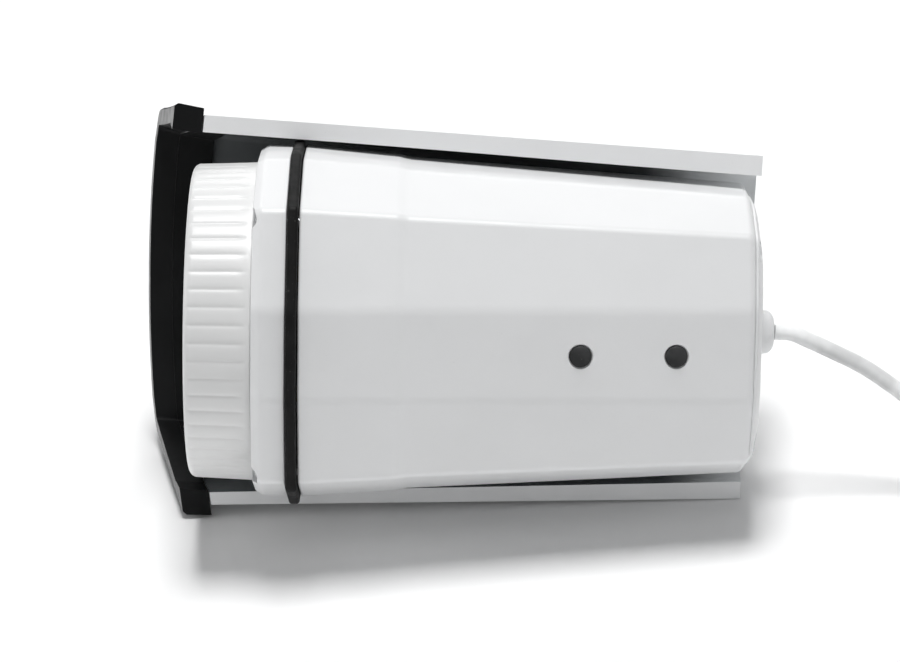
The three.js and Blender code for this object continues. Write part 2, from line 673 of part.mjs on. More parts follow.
// ---------------------------------------------------------------- sunshield
// Half of the bent section, from one lip over the corner to the middle, as [y, z] points moved out by offset.
const SHIELD_CORNER_Y = SHIELD_TOP - SHIELD_CORNER_RADIUS;
const SHIELD_CORNER_Z =
  SHIELD_LIP_HALF -
  SHIELD_CORNER_RADIUS * Math.cos(SHIELD_SIDE_LEAN) -
  (SHIELD_CORNER_Y + SHIELD_CORNER_RADIUS * Math.sin(SHIELD_SIDE_LEAN) - SHIELD_LIP_Y) *
    Math.tan(SHIELD_SIDE_LEAN);

function shieldWallZ(y, offset) {
  const radius = SHIELD_CORNER_RADIUS + offset;
  const bendY = SHIELD_CORNER_Y + radius * Math.sin(SHIELD_SIDE_LEAN);
  const bendZ = SHIELD_CORNER_Z + radius * Math.cos(SHIELD_SIDE_LEAN);
  return bendZ + (bendY - y) * Math.tan(SHIELD_SIDE_LEAN);
}

// The wall's points at the given heights, then the corner arc and the top, moved out by offset.
function shieldHalfSection(offset, wallHeights) {
  const radius = SHIELD_CORNER_RADIUS + offset;
  const points = wallHeights.map((y) => [y, shieldWallZ(y, offset)]);
  const arcSteps = 4;
  for (let i = 0; i <= arcSteps; i += 1) {
    const angle = THREE.MathUtils.lerp(SHIELD_SIDE_LEAN, Math.PI / 2, i / arcSteps);
    points.push([SHIELD_CORNER_Y + radius * Math.sin(angle), SHIELD_CORNER_Z + radius * Math.cos(angle)]);
  }
  for (const share of [2 / 3, 1 / 3]) points.push([SHIELD_CORNER_Y + radius, SHIELD_CORNER_Z * share]);
  return points;
}

// The same section with the lips thickened inwards to lipZ on its first two points.
function thickLipSection(offset, wallHeights, lipZ) {
  return shieldHalfSection(offset, wallHeights).map(([y, z], i) => [y, i < 2 ? lipZ : z]);
}

function bothHalves(half) {
  return [...half, [half.at(-1)[0], 0], ...half.toReversed().map(([y, z]) => [y, -z])];
}

// How far the slanted, bowed front edge leads the lips at a point of the section.
function visorLead(y, z) {
  return (y - SHIELD_LIP_Y) * SHIELD_SLANT + SHIELD_BOW * (1 - (z / SHIELD_LIP_HALF) ** 2);
}

function narrowed(x, z) {
  const inset = SHIELD_NARROWING * (x - SHIELD_FRONT_X);
  if (Math.abs(z) < SHIELD_CORNER_Z) return z * (1 - inset / SHIELD_CORNER_Z);
  return z - Math.sign(z) * inset;
}

// A bent strip between two outlines of equally many points, from x0 to x1. Each end may follow the visor.
function shieldStrip(outerHalf, innerHalf, x0, x1, rearFollowsVisor) {
  const pairs = [bothHalves(outerHalf), bothHalves(innerHalf)];
  const count = pairs[0].length;
  const corners = [];
  for (const [x, follows] of [[x0, true], [x1, rearFollowsVisor]]) {
    for (const outline of pairs) {
      for (const [y, z] of outline) {
        const shifted = follows ? x - visorLead(y, z) : x;
        corners.push(shifted, y, narrowed(shifted, z));
      }
    }
  }
  const [frontOuter, frontInner, rearOuter, rearInner] = [0, 1, 2, 3].map((k) => k * count);
  const faces = [];
  const quad = (a, b, c, d) => faces.push(a, b, c, a, c, d);
  for (let i = 0; i < count - 1; i += 1) {
    const next = i + 1;
    quad(frontOuter + i, frontOuter + next, rearOuter + next, rearOuter + i);
    quad(frontInner + next, frontInner + i, rearInner + i, rearInner + next);
    quad(frontInner + i, frontInner + next, frontOuter + next, frontOuter + i);
    quad(rearOuter + i, rearOuter + next, rearInner + next, rearInner + i);
  }
  const last = count - 1;
  quad(frontInner, frontOuter, rearOuter, rearInner);
  quad(frontOuter + last, frontInner + last, rearInner + last, rearOuter + last);
  const geometry = new THREE.BufferGeometry();
  geometry.setAttribute("position", new THREE.Float32BufferAttribute(corners, 3));
  geometry.setIndex(faces);
  return geometry;
}

function shieldPanel() {
  const heights = [0, 5, 8.5].map((rise) => SHIELD_LIP_Y + rise);
  const sheet = shieldStrip(
    shieldHalfSection(0, heights),
    thickLipSection(-SHIELD_SHEET, heights, SHIELD_LIP_HALF - SHIELD_LIP_THICK),
    SHIELD_FRONT_X,
    SHIELD_REAR_X,
    false,
  );
  const slots = SHIELD_BOLT_X.flatMap((x) => {
    const [front, rear] = [x - SHIELD_TRAVEL[1], x - SHIELD_TRAVEL[0]];
    const ends = [front, rear].map((end) => shieldBoltTool(end, 2.3, 48, 58, 16));
    return [...ends, block(front, rear, 48, 58, -2.3, 2.3)];
  });
  return cut(sheet, ...slots);
}
piece("shield_panel", shieldPanel(), MATERIALS.shieldPaint, shield);

const BEZEL_REAR_X = SHIELD_FRONT_X - GAP;
function shieldBezel() {
  const inner = -SHIELD_SHEET - 1.9;
  const heights = [0, 7, 7.5].map((rise) => SHIELD_LIP_Y + rise);
  const lipZ = shieldWallZ(SHIELD_LIP_Y, BEZEL_PROUD) - 8.7;
  const band = shieldStrip(
    shieldHalfSection(BEZEL_PROUD, heights),
    thickLipSection(inner, heights, lipZ),
    BEZEL_REAR_X - BEZEL_LENGTH,
    BEZEL_REAR_X,
    true,
  );
  const flangeHeights = [SHIELD_LIP_Y + 10.5];
  const flange = shieldStrip(
    shieldHalfSection(-SHIELD_SHEET - GAP, flangeHeights),
    shieldHalfSection(inner, flangeHeights),
    BEZEL_REAR_X - 2,
    BEZEL_REAR_X + BEZEL_FLANGE_LENGTH,
    true,
  );
  return join(band, flange);
}
piece("shield_bezel", shieldBezel(), MATERIALS.blackPlastic, shield);

// Each screw has a flange under its head, wide enough to bridge the slot.
SHIELD_BOLT_X.forEach((x, i) => {
  const flange = tube(2.1, 3.1, 1, SHIELD_SCREW_FLANGE, 20);
  const bolt = join(screw(0, 2.2, 3.7, 12.8, 1.95), flange).rotateZ(-Math.PI / 2);
  piece(`shield_screw_${i + 1}`, bolt.translate(x, SHIELD_TOP + GAP + 3.1, 0), MATERIALS.steel, shield);
});

// ---------------------------------------------------------------- the camera on its side
// It rests on the lower side wall: on the bezel at the front and on the panel's end at the rear.
function lowerWallPoint(x, y, offset) {
  const z = shieldWallZ(y, offset);
  return new THREE.Vector3(x, y, -narrowed(x, z));
}
function bezelEdgePoint(y) {
  return lowerWallPoint(BEZEL_REAR_X - visorLead(y, shieldWallZ(y, BEZEL_PROUD)), y, BEZEL_PROUD);
}
const contact = [
  bezelEdgePoint(SHIELD_LIP_Y),
  bezelEdgePoint(SHIELD_CORNER_Y),
  lowerWallPoint(SHIELD_REAR_X, (SHIELD_LIP_Y + SHIELD_CORNER_Y) / 2, 0),
];
const along = contact[2].clone().sub(contact[0]);
const across = contact[1].clone().sub(contact[0]);
const floorNormal = along.cross(across).normalize().applyEuler(shield.rotation);
if (floorNormal.z < 0) floorNormal.negate();
camera.quaternion.setFromUnitVectors(floorNormal, new THREE.Vector3(0, 0, 1));
part.updateMatrixWorld(true);
const rest = new THREE.Box3().setFromObject(camera, true);
camera.position.set(-(rest.min.x + rest.max.x) / 2, -(rest.min.y + rest.max.y) / 2, -rest.min.z);
part.updateMatrixWorld(true);

// ---------------------------------------------------------------- the free cable, in the part's own frame
// From the gland it bends down to the surface and winds into a tied coil that ends in a connector.
const CABLE_RUN = [
  [91.35, -14.26, 48.49],
  [96, -14.3, 47.8],
  [101, -14.6, 45.3],
  [108, -15.6, 41.6],
  [115, -17.1, 37.9],
  [123, -19.2, 32.3],
  [131, -21.6, 26],
  [139, -24, 19.6],
  [147, -26.3, 13.4],
  [154, -28, 8.4],
  [161, -29.3, 4.6],
];
const CABLE_REST_Z = CABLE_DIAMETER / 2 + 0.05;
const COIL_CENTRE = [178, -3.6];
const COIL_RADIUS = 24.5; // at the middle of its turns
const COIL_SPREAD = CABLE_DIAMETER * 0.51; // the two lower turns lie this far inside and outside it
const COIL_TOP_Z = CABLE_REST_Z + CABLE_DIAMETER * 0.88;
const CABLE_TAIL = [
  [202.7, 16.5, 6.7],
  [202.9, 22, 7.2],
  [203, 30, 7.6],
];
const CONNECTOR_Z = 7.6;
const CONNECTOR_START_Y = 30.3;

piece("cable_run", tubeAlong(CABLE_RUN, CABLE_DIAMETER, 14), MATERIALS.cableSheath, part);
piece("cable_tail", tubeAlong(CABLE_TAIL, CABLE_DIAMETER, 4), MATERIALS.cableSheath, part);

function cableCoil() {
  const inner = COIL_RADIUS - COIL_SPREAD - CABLE_DIAMETER / 2;
  const outer = COIL_RADIUS + COIL_SPREAD + CABLE_DIAMETER / 2;
  const top = COIL_TOP_Z + CABLE_DIAMETER / 2;
  const profile = [
    [inner + 0.9, 0.05],
    [outer - 0.9, 0.05],
    [outer, 1.2],
    [outer, 3.6],
    [COIL_RADIUS + 1.4, top],
    [COIL_RADIUS - 1.4, top],
    [inner, 3.6],
    [inner, 1.2],
  ];
  const points = [...profile, profile[0]].map(([radius, z]) => new THREE.Vector2(radius, z));
  const ring = new THREE.LatheGeometry(points, 32).rotateX(Math.PI / 2);
  return ring.translate(COIL_CENTRE[0], COIL_CENTRE[1], 0);
}
piece("cable_coil", geometryOf(solidOf(cableCoil())), MATERIALS.cableSheath, part);

// The connector lies along +y: a tapered strain relief, then a body with an open socket.
const CONNECTOR_BODY = {
  width: 16,
  height: 15,
  length: 30,
  socketWidth: 12,
  socketHeight: 8.6,
  socketDepth: 14,
};
const BOOT_LENGTH = 13.5;
const connectorX = CABLE_TAIL.at(-1)[0];
function connectorBoot() {
  const profile = [
    [0, 0],
    [0, CABLE_DIAMETER / 2 + 0.7],
    [BOOT_LENGTH - 3, 4.6],
    [BOOT_LENGTH - 3, 5.6],
    [BOOT_LENGTH, 5.6],
    [BOOT_LENGTH, 0],
  ];
  return turned(profile, 20).rotateZ(Math.PI / 2).translate(connectorX, CONNECTOR_START_Y, CONNECTOR_Z);
}
piece("connector_boot", geometryOf(solidOf(connectorBoot())), MATERIALS.blackRubber, part);

function networkConnector() {
  const { width, height, length, socketWidth, socketHeight, socketDepth } = CONNECTOR_BODY;
  const y0 = CONNECTOR_START_Y + BOOT_LENGTH + GAP;
  const outline = new THREE.Shape();
  const chamfer = 1.4;
  const [w, h] = [width / 2, height / 2];
  outline.moveTo(-w + chamfer, -h);
  for (const [x, z] of [[w - chamfer, -h], [w, -h + chamfer], [w, h - chamfer], [w - chamfer, h],
    [-w + chamfer, h], [-w, h - chamfer], [-w, -h + chamfer]]) outline.lineTo(x, z);
  outline.closePath();
  const body = new THREE.ExtrudeGeometry(outline, { depth: length, bevelEnabled: false })
    .rotateX(Math.PI / 2)
    .translate(connectorX, y0 + length, CONNECTOR_Z);
  const [sw, sh] = [socketWidth / 2, socketHeight / 2];
  const mouth = block(-sw, sw, y0 + length - socketDepth, y0 + length + 1, -sh, sh);
  return cut(body, mouth.translate(connectorX, 0, CONNECTOR_Z));
}
piece("network_connector", networkConnector(), MATERIALS.blackPlastic, part);

export default part;
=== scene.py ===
"""Looks of a bullet security camera that lies on one side wall of its sunshield.

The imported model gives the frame. Sizes are millimetres in the camera's own frame, as in the CAD: x runs
from the window to the cable, with 0 at the front face of the housing, +y points to the sunshield and z goes
across. Some sizes are up to 3 mm off the CAD's, as measured in the photograph afterwards.
"""
import json
from math import atan2, copysign, cos, pi, radians, sin, tan

import bmesh
import bpy
from mathutils import Matrix, Vector


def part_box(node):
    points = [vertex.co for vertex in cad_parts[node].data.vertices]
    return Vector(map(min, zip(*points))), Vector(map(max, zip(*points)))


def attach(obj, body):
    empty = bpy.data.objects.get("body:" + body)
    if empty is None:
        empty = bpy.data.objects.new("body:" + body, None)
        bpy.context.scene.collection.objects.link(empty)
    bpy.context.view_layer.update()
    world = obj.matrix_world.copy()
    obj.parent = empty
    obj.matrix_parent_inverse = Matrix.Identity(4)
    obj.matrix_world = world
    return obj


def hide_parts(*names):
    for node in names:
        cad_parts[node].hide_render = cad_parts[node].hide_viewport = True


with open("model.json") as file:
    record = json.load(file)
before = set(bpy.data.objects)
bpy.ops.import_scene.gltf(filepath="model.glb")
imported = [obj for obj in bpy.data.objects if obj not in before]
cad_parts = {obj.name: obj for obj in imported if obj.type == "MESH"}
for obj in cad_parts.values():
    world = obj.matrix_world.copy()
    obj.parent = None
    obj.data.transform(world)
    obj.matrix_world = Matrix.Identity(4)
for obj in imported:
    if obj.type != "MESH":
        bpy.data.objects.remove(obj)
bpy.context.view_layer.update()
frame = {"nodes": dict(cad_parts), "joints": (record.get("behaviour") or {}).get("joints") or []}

MM = 0.001

# ---- driving dimensions
FLAT_HALF = 12.4
CORNER_SHARE = 0.72
FLAT_EDGE_RADIUS = 9
HOUSING_FRONT_HALF = 47.5
HOUSING_STEP_X = 27.7
HOUSING_STEP_HALF = 45.4
HOUSING_STEP_DEPTH = 0.5
HOUSING_REAR_X = 124
HOUSING_REAR_HALF = 38.9
HOUSING_WALL = 2.4
COLLAR_FRONT_X = -12.7
COLLAR_REAR_X = -3.5
NECK_FRONT_X = -23.5
NECK_RADIUS = 42.6
NECK_BORE = 38
GASKET_FRONT_X = -3.3
GASKET_REAR_X = -0.3
GASKET_HALF = 49.9
RING_FRONT_X = -31.2
RING_REAR_X = -12.78
RING_FRONT_RADIUS = 44.1
RING_REAR_RADIUS = 44.7
RING_BORE = 43
RING_WINDOW = 37.2
RING_GROOVES = 56
RING_PIVOT_X = -22
GLASS_FRONT_X = -28.5
GLASS_REAR_X = -25.5
GLASS_RADIUS = 39.8
COLLAR_SCREW_OFFSET = 34.4
REAR_SCREW_OFFSET = 27
REAR_COVER_HALF = 36.6
REAR_COVER_REAR_X = 127.6
MOUNT_HOLE_X = (76.5, 102.6)
MOUNT_HOLE_RADIUS = 3.15
MOUNT_HOLE_DEPTH = 7.5
SCREW_HOLE_RADIUS = 1.8
PLUG_RADIUS = 3
GLAND_Y = -4.5
GLAND_RADIUS = 6.4
GLAND_TIP_X = 132
CABLE_DIAMETER = 4.4
SHIELD_TOP = 53.5
SHIELD_SHEET = 2
SHIELD_LIP_Y = 7.2
SHIELD_LIP_HALF = 57
SHIELD_LIP_THICK = 4.9
SHIELD_LEAN = radians(13.4)
SHIELD_CORNER_RADIUS = 4.5
SHIELD_FRONT_X = -27.9
SHIELD_REAR_X = 125
SHIELD_NARROWING = 0.05
SHIELD_SLANT = 0.235
SHIELD_BOW = 3.6
SHIELD_BOLT_X = (36, 92)
SHIELD_TRAVEL = (-10, 15)
SLOT_RADIUS = 2.3
SHIELD_RAISED = 1.2
BEZEL_REAR_X = -28.2
BEZEL_LENGTH = 8.4
BEZEL_PROUD = 2.8
BEZEL_FLANGE_LENGTH = 8
LAMP_BOARD_X = -10.2
LAMP_RADIUS = 25


# ---- the camera's own frame, from the joints
def joint(name):
    return next(j for j in frame["joints"] if j["name"] == name)


def mm_frame(along):
    turn = Matrix((along, ACROSS.cross(along), ACROSS)).transposed().to_4x4()
    return Matrix.Translation(ORIGIN) @ turn @ Matrix.Scale(MM, 4)


ALONG = -Vector(joint("window_advance")["axis"]).normalized()
ACROSS = Vector(joint("filter_slide")["axis"]).normalized()
ORIGIN = Vector(joint("front_ring_turn")["pos_m"]) - ALONG * RING_PIVOT_X * MM
BODY = mm_frame(ALONG)
SHIELD = mm_frame(Vector(joint("shield_slide")["axis"]).normalized())
ROW = Matrix.Scale(MM, 4)
ONTO_Y = Matrix.Rotation(pi / 2, 4, "Z")  # turns a shape made along x to lie along +y


# ---- view, floor and light, in metres and watts
VIEW_AZIMUTH = radians(1.3)
VIEW_ELEVATION = radians(25)
VIEW_ROLL = radians(-4.09)
VIEW_PLACE = (0.02178, -0.95258, 0.49264)
VIEW_LENS_MM = 147.73
FLOOR_HALF = 4
WORLD_STRENGTH = 0.21
MIDDLE = (0, 0, 0.05)
LIGHTS = (  # name, place, aim, size, power
    ("overhead", (0.1, 0, 2.2), MIDDLE, (0.75, 0.5), 38),
    ("front", (0.5, -1.4, 0.5), MIDDLE, (1.4, 0.5), 1.9),
    ("left", (-1.3, 0.05, 0.45), MIDDLE, (0.7, 0.5), 3),
    ("backdrop", (0, 1.9, 1.2), (0, 1.6, 0), (2.4, 0.6), 16),
)


def add_object(name, data):
    made = bpy.data.objects.new(name, data)
    bpy.context.scene.collection.objects.link(made)
    return made


def set_inputs(node, **values):
    for socket, value in values.items():
        node.inputs[socket.replace("_", " ")].default_value = value


def add_camera():
    data = bpy.data.cameras.new("view")
    data.lens = VIEW_LENS_MM
    data.sensor_width = 36
    camera = add_object("view", data)
    back = Vector((
        sin(VIEW_AZIMUTH) * cos(VIEW_ELEVATION),
        -cos(VIEW_AZIMUTH) * cos(VIEW_ELEVATION),
        sin(VIEW_ELEVATION),
    ))
    camera.location = VIEW_PLACE
    camera.rotation_mode = "QUATERNION"
    level = (-back).to_track_quat("-Z", "Y")
    camera.rotation_quaternion = level @ Matrix.Rotation(VIEW_ROLL, 3, "Z").to_quaternion()
    data.clip_start, data.clip_end = 0.05, 20
    bpy.context.scene.camera = camera


def add_area_light(name, place, aim, size, power):
    data = bpy.data.lights.new(name, "AREA")
    data.shape = "RECTANGLE"
    data.size, data.size_y = size
    data.energy = power
    light = add_object(name, data)
    light.location = place
    light.rotation_mode = "QUATERNION"
    light.rotation_quaternion = (Vector(aim) - Vector(place)).to_track_quat("-Z", "Y")


def add_studio():
    world = bpy.data.worlds.new("studio")
    world.use_nodes = True
    set_inputs(world.node_tree.nodes["Background"], Color=(0.97, 0.985, 1, 1), Strength=WORLD_STRENGTH)
    bpy.context.scene.world = world
    for light in LIGHTS:
        add_area_light(*light)
    bpy.context.scene.view_settings.view_transform = "Standard"
    mesh = bpy.data.meshes.new("floor")
    corners = [(x, y, 0) for x, y in ((-1, -1), (1, -1), (1, 1), (-1, 1))]
    mesh.from_pydata([Vector(corner) * FLOOR_HALF for corner in corners], [], [(0, 1, 2, 3)])
    floor = add_object("floor", mesh)
    paper = bpy.data.materials.new("floor_paper")
    paper.use_nodes = True
    shader = paper.node_tree.nodes["Principled BSDF"]
    set_inputs(shader, Base_Color=(0.93, 0.93, 0.93, 1), Roughness=0.9, Specular_IOR_Level=0.1)
    mesh.materials.append(paper)


# ---- materials
class Finish:
    """A Principled material whose textures read the piece's own coordinates in millimetres."""

    def __init__(self, name, color, roughness, **sockets):
        self.material = bpy.data.materials.new(name)
        self.material.use_nodes = True
        self.tree = self.material.node_tree
        self.shader = self.tree.nodes["Principled BSDF"]
        self.color = color
        self.roughness = roughness
        set_inputs(self.shader, Base_Color=(*color, 1), Roughness=roughness, **sockets)
        scale = self.node("Mapping", Scale=(1 / MM,) * 3)
        self.link(self.node("TexCoord").outputs["Object"], scale)
        self.place = scale.outputs["Vector"]

    def node(self, kind, properties=(), **sockets):
        made = self.tree.nodes.new("ShaderNode" + kind)
        for key, value in dict(properties).items():
            setattr(made, key, value)
        set_inputs(made, **sockets)
        return made

    def link(self, source, node, socket="Vector"):
        self.tree.links.new(source, node.inputs[socket])

    def noise(self, size, detail=3, stretch=(1, 1, 1)):
        """Cloudy noise from 0 to 1 whose features are size mm across, stretched along x, y and z."""
        mapping = self.node("Mapping", Scale=[1 / s for s in stretch])
        self.link(self.place, mapping)
        noise = self.node("TexNoise", Scale=1 / size, Detail=detail)
        self.link(mapping.outputs["Vector"], noise)
        return noise.outputs["Fac"]

    def ramp(self, source, low, high, start=0.0, end=1.0):
        """Maps source from low..high to start..end, smoothly and clamped."""
        limits = {"From_Min": low, "From_Max": high, "To_Min": start, "To_Max": end}
        mapped = self.node("MapRange", {"interpolation_type": "SMOOTHSTEP"}, **limits)
        self.link(source, mapped, "Value")
        return mapped.outputs["Result"]

    def tint(self, mask, color):
        """Lets color take over from what is there as mask goes from 0 to 1."""
        mix = self.node("Mix", {"data_type": "RGBA"})
        factor, before, after = (mix.inputs[i] for i in (0, 6, 7))
        links = self.tree.links
        links.new(mask, factor)
        target = self.shader.inputs["Base Color"]
        if target.links:
            links.new(target.links[0].from_socket, before)
        else:
            before.default_value = target.default_value
        after.default_value = (*color, 1)
        links.new(mix.outputs[2], target)

    def vary_roughness(self, size, detail, spread):
        low, high = self.roughness - spread, self.roughness + spread
        self.link(self.ramp(self.noise(size, detail), 0.25, 0.75, low, high), self.shader, "Roughness")

    def bump(self, source, depth):
        """Raises the surface by depth mm where source is 1, on top of the bumps already there."""
        made = self.node("Bump", Strength=1, Distance=depth * MM)
        self.link(source, made, "Height")
        normal = self.shader.inputs["Normal"]
        if normal.links:
            self.link(normal.links[0].from_socket, made, "Normal")
        self.link(made.outputs["Normal"], self.shader, "Normal")

    def mottled(self, size, color, strength):
        """Lets color, or the base colour times a number, show through in clouds size mm across."""
        if isinstance(color, float):
            color = [c * color for c in self.color]
        self.tint(self.ramp(self.noise(size), 0.35, 0.75, 0, strength), color)


def powder_coat(name, color, roughness):
    """Satin paint with orange peel, a slow unevenness and a little dust."""
    made = Finish(name, color, roughness, Coat_Weight=0.15, Coat_Roughness=0.3)
    made.mottled(24, 0.965, 0.6)
    made.tint(made.ramp(made.noise(0.5, 1), 0.72, 0.8, 0, 0.12), (0.5, 0.48, 0.45))
    made.vary_roughness(9, 4, 0.06)
    made.bump(made.noise(0.7, 2), 0.006)
    made.bump(made.noise(5, 2), 0.02)
    return made


def painted_shade_inside_shield(name):
    """Painted shade inside the shield: a dark grey that stands in for the shade in the narrow gap, fading to
    white painted light towards the open rear end.
    """
    # the dark grey base and its mottle are painted shade
    made = Finish(name, (0.12, 0.13, 0.135), 0.5)
    made.mottled(8, (0.15, 0.16, 0.165), 0.5)
    separate = made.node("SeparateXYZ")
    made.link(made.place, separate)
    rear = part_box("shield_panel")[1][0] / MM
    wobble = made.node("Math", {"operation": "MULTIPLY_ADD"})
    made.link(made.noise(6, 3), wobble, 0)
    wobble.inputs[1].default_value = 6
    made.link(separate.outputs["X"], wobble, 2)
    # the ramp to white near the rear end is painted light from the open end
    made.tint(made.ramp(wobble.outputs["Value"], rear - 30, rear - 10), (0.8, 0.82, 0.83))
    made.vary_roughness(4, 3, 0.08)
    made.bump(made.noise(0.6, 2), 0.008)
    return made


def moulded(name, color, roughness, grain=0.012, specular=0.12):
    made = Finish(name, color, roughness, Specular_IOR_Level=specular)
    made.mottled(14, 1.7, 0.7)
    made.vary_roughness(5, 4, 0.07)
    made.bump(made.noise(0.28, 2), grain)
    return made


def rubber(name, color):
    made = Finish(name, color, 0.55, Specular_IOR_Level=0.12)
    made.mottled(7, 2.2, 0.6)
    made.tint(made.ramp(made.noise(0.6, 1), 0.7, 0.8, 0, 0.25), (0.2, 0.2, 0.19))
    made.vary_roughness(3, 4, 0.08)
    made.bump(made.noise(0.4, 3), 0.015)
    return made


def turned_metal(name, color, roughness):
    """Metal with fine lathe marks: noise squeezed along the turning axis, x."""
    made = Finish(name, color, roughness, Metallic=1)
    made.mottled(2.5, 0.8, 0.5)
    made.vary_roughness(1.5, 4, 0.1)
    made.bump(made.noise(1, 2, (0.12, 6, 6)), 0.006)
    return made


def glass(name, color, transmission, coating=None):
    made = Finish(name, color, 0.02, Transmission_Weight=transmission, IOR=1.5)
    if coating:
        set_inputs(made.shader, Coat_Weight=1, Coat_Roughness=0.02, Coat_Tint=(*coating, 1))
    made.vary_roughness(18, 4, 0.015)
    made.bump(made.noise(30, 1), 0.004)
    return made


def circuit_finish(name, mask_color):
    """Solder mask over copper: a grid of fine traces shows as a lighter, slightly raised net."""
    made = Finish(name, mask_color, 0.38, Coat_Weight=0.4, Coat_Roughness=0.15)
    traces = made.node("TexBrick", Scale=0.22, Mortar_Size=0.05, Mortar_Smooth=0.3)
    slanted = made.node("Mapping", Rotation=(0, radians(90), radians(8)))
    made.link(made.place, slanted)
    made.link(slanted.outputs["Vector"], traces)
    broken = made.node("Math", {"operation": "MULTIPLY"})
    made.link(traces.outputs["Fac"], broken, 0)
    made.link(made.ramp(made.noise(5, 1), 0.45, 0.55), broken, 1)
    made.tint(broken.outputs["Value"], tuple(min(1, c * 2.2 + 0.01) for c in mask_color))
    made.tint(made.ramp(made.noise(1.1, 0), 0.74, 0.76), (0.72, 0.62, 0.36))
    made.bump(broken.outputs["Value"], 0.035)
    made.vary_roughness(4, 3, 0.06)
    return made


def wound_wire(name):
    made = Finish(name, (0.42, 0.17, 0.06), 0.35, Metallic=0.8)
    wave = made.node("TexWave", {"bands_direction": "Z"}, Scale=1.6)
    made.link(made.place, wave)
    made.bump(wave.outputs["Fac"], 0.08)
    made.mottled(1.5, (0.25, 0.09, 0.03), 0.6)
    made.vary_roughness(1, 3, 0.1)
    return made


LOOKS = (
    (powder_coat, "housing_paint", (0.8, 0.805, 0.81), 0.44),
    (powder_coat, "ring_plastic", (0.76, 0.762, 0.76), 0.38),
    (powder_coat, "shield_paint", (0.93, 0.935, 0.94), 0.46),
    # painted shade inside the shield, not a real coat
    (painted_shade_inside_shield, "shield_inner"),
    (moulded, "black_plastic", (0.006, 0.0063, 0.0066), 0.5),
    # lit copy of black_plastic: a lighter colour and stronger specular paint light onto the visor's front
    # faces
    (moulded, "visor_edge", (0.018, 0.0185, 0.019), 0.36, 0.012, 0.5),
    (turned_metal, "lens_metal", (0.035, 0.035, 0.038), 0.4),
    (rubber, "black_rubber", (0.007, 0.007, 0.007)),
    (rubber, "plug_rubber", (0.03, 0.0305, 0.031)),
    (turned_metal, "screw_steel", (0.56, 0.57, 0.58), 0.3),
    (turned_metal, "brass", (0.62, 0.45, 0.2), 0.32),
    (circuit_finish, "circuit_board", (0.015, 0.10, 0.045)),
    (moulded, "chip", (0.02, 0.02, 0.022), 0.4, 0.01),
    (glass, "lamp_lens", (0.93, 0.95, 0.97), 1),
    (glass, "window_glass", (0.96, 0.985, 0.98), 1),
    (glass, "lens_glass", (0.10, 0.05, 0.16), 0.35, (0.62, 0.5, 0.95)),
    (glass, "filter_glass", (0.3, 0.62, 0.72), 0.7, (0.9, 0.55, 0.6)),
    (glass, "clear_glass", (0.95, 0.97, 0.97), 1),
    (wound_wire, "coil_winding"),
    (moulded, "cable_sheath", (0.66, 0.665, 0.665), 0.5, 0.008, 0.2),
)
FINISHES = {name: maker(name, *look).material for maker, name, *look in LOOKS}


# ---- shapes: (points in mm, faces)
def loft(rings, wrap=False):
    """Skins rings of equally many points. wrap joins the last to the first; else both ends are capped."""
    count = len(rings[0])
    points = [point for ring in rings for point in ring]
    faces = []
    for i in range(len(rings) if wrap else len(rings) - 1):
        a, b = i * count, (i + 1) % len(rings) * count
        for j in range(count):
            k = (j + 1) % count
            faces.append((a + j, a + k, b + k, b + j))
    if not wrap:
        faces.append(tuple(reversed(range(count))))
        faces.append(tuple(range(len(points) - count, len(points))))
    return points, faces


def circle(x, radius, segments):
    angles = [2 * pi * i / segments for i in range(segments)]
    return [(x, radius * cos(a), radius * sin(a)) for a in angles]


def turned(profile, segments=96, wrap=False):
    """A body of revolution about x from (x, radius) points; wrap makes a hollow ring of it."""
    tiny = 0.02  # the ends of a solid one close with a small flat instead of a pole
    return loft([circle(x, max(radius, tiny), segments) for x, radius in profile], wrap)


def rod(x0, x1, radius, segments=48):
    return turned([(x0, radius), (x1, radius)], segments)


def block(x0, x1, y0, y1, z0, z1):
    return loft([[(x, y0, z0), (x, y1, z0), (x, y1, z1), (x, y0, z1)] for x in (x0, x1)])


def moved(shape, matrix):
    return [tuple(matrix @ Vector(point)) for point in shape[0]], shape[1]


def shifted(shape, x, y, z):
    return moved(shape, Matrix.Translation((x, y, z)))


def joined(shapes):
    points, faces = [], []
    for more_points, more_faces in shapes:
        faces += [tuple(index + len(points) for index in face) for face in more_faces]
        points += more_points
    return points, faces


def quarter(steps):
    """The cosines and sines of the angles from 0 to 90 degrees."""
    angles = [pi / 2 * i / steps for i in range(steps + 1)]
    return [(cos(angle), sin(angle)) for angle in angles]


def rounded_end(x, size, radius, facing, steps=4):
    """(x, size) stations over an edge of that radius, from the end face at x to the side."""
    return [(x - facing * radius * (1 - c), size - radius + radius * s) for c, s in quarter(steps)]


def rounded(outline, radii, steps=5):
    """A closed outline whose corners become arcs, each with its own radius."""
    made = []
    for i, corner in enumerate(outline):
        corner = Vector(corner)
        before = (Vector(outline[i - 1]) - corner).normalized()
        after = (Vector(outline[(i + 1) % len(outline)]) - corner).normalized()
        turn = pi - before.angle(after)
        radius = radii[i]
        centre = corner + (before + after).normalized() * radius / cos(turn / 2)
        first = corner + before * radius * tan(turn / 2) - centre
        side = copysign(1, before.x * after.y - before.y * after.x)
        for k in range(steps + 1):
            angle = -side * turn * k / steps
            made.append((
                centre.x + first.x * cos(angle) - first.y * sin(angle),
                centre.y + first.x * sin(angle) + first.y * cos(angle),
            ))
    return made


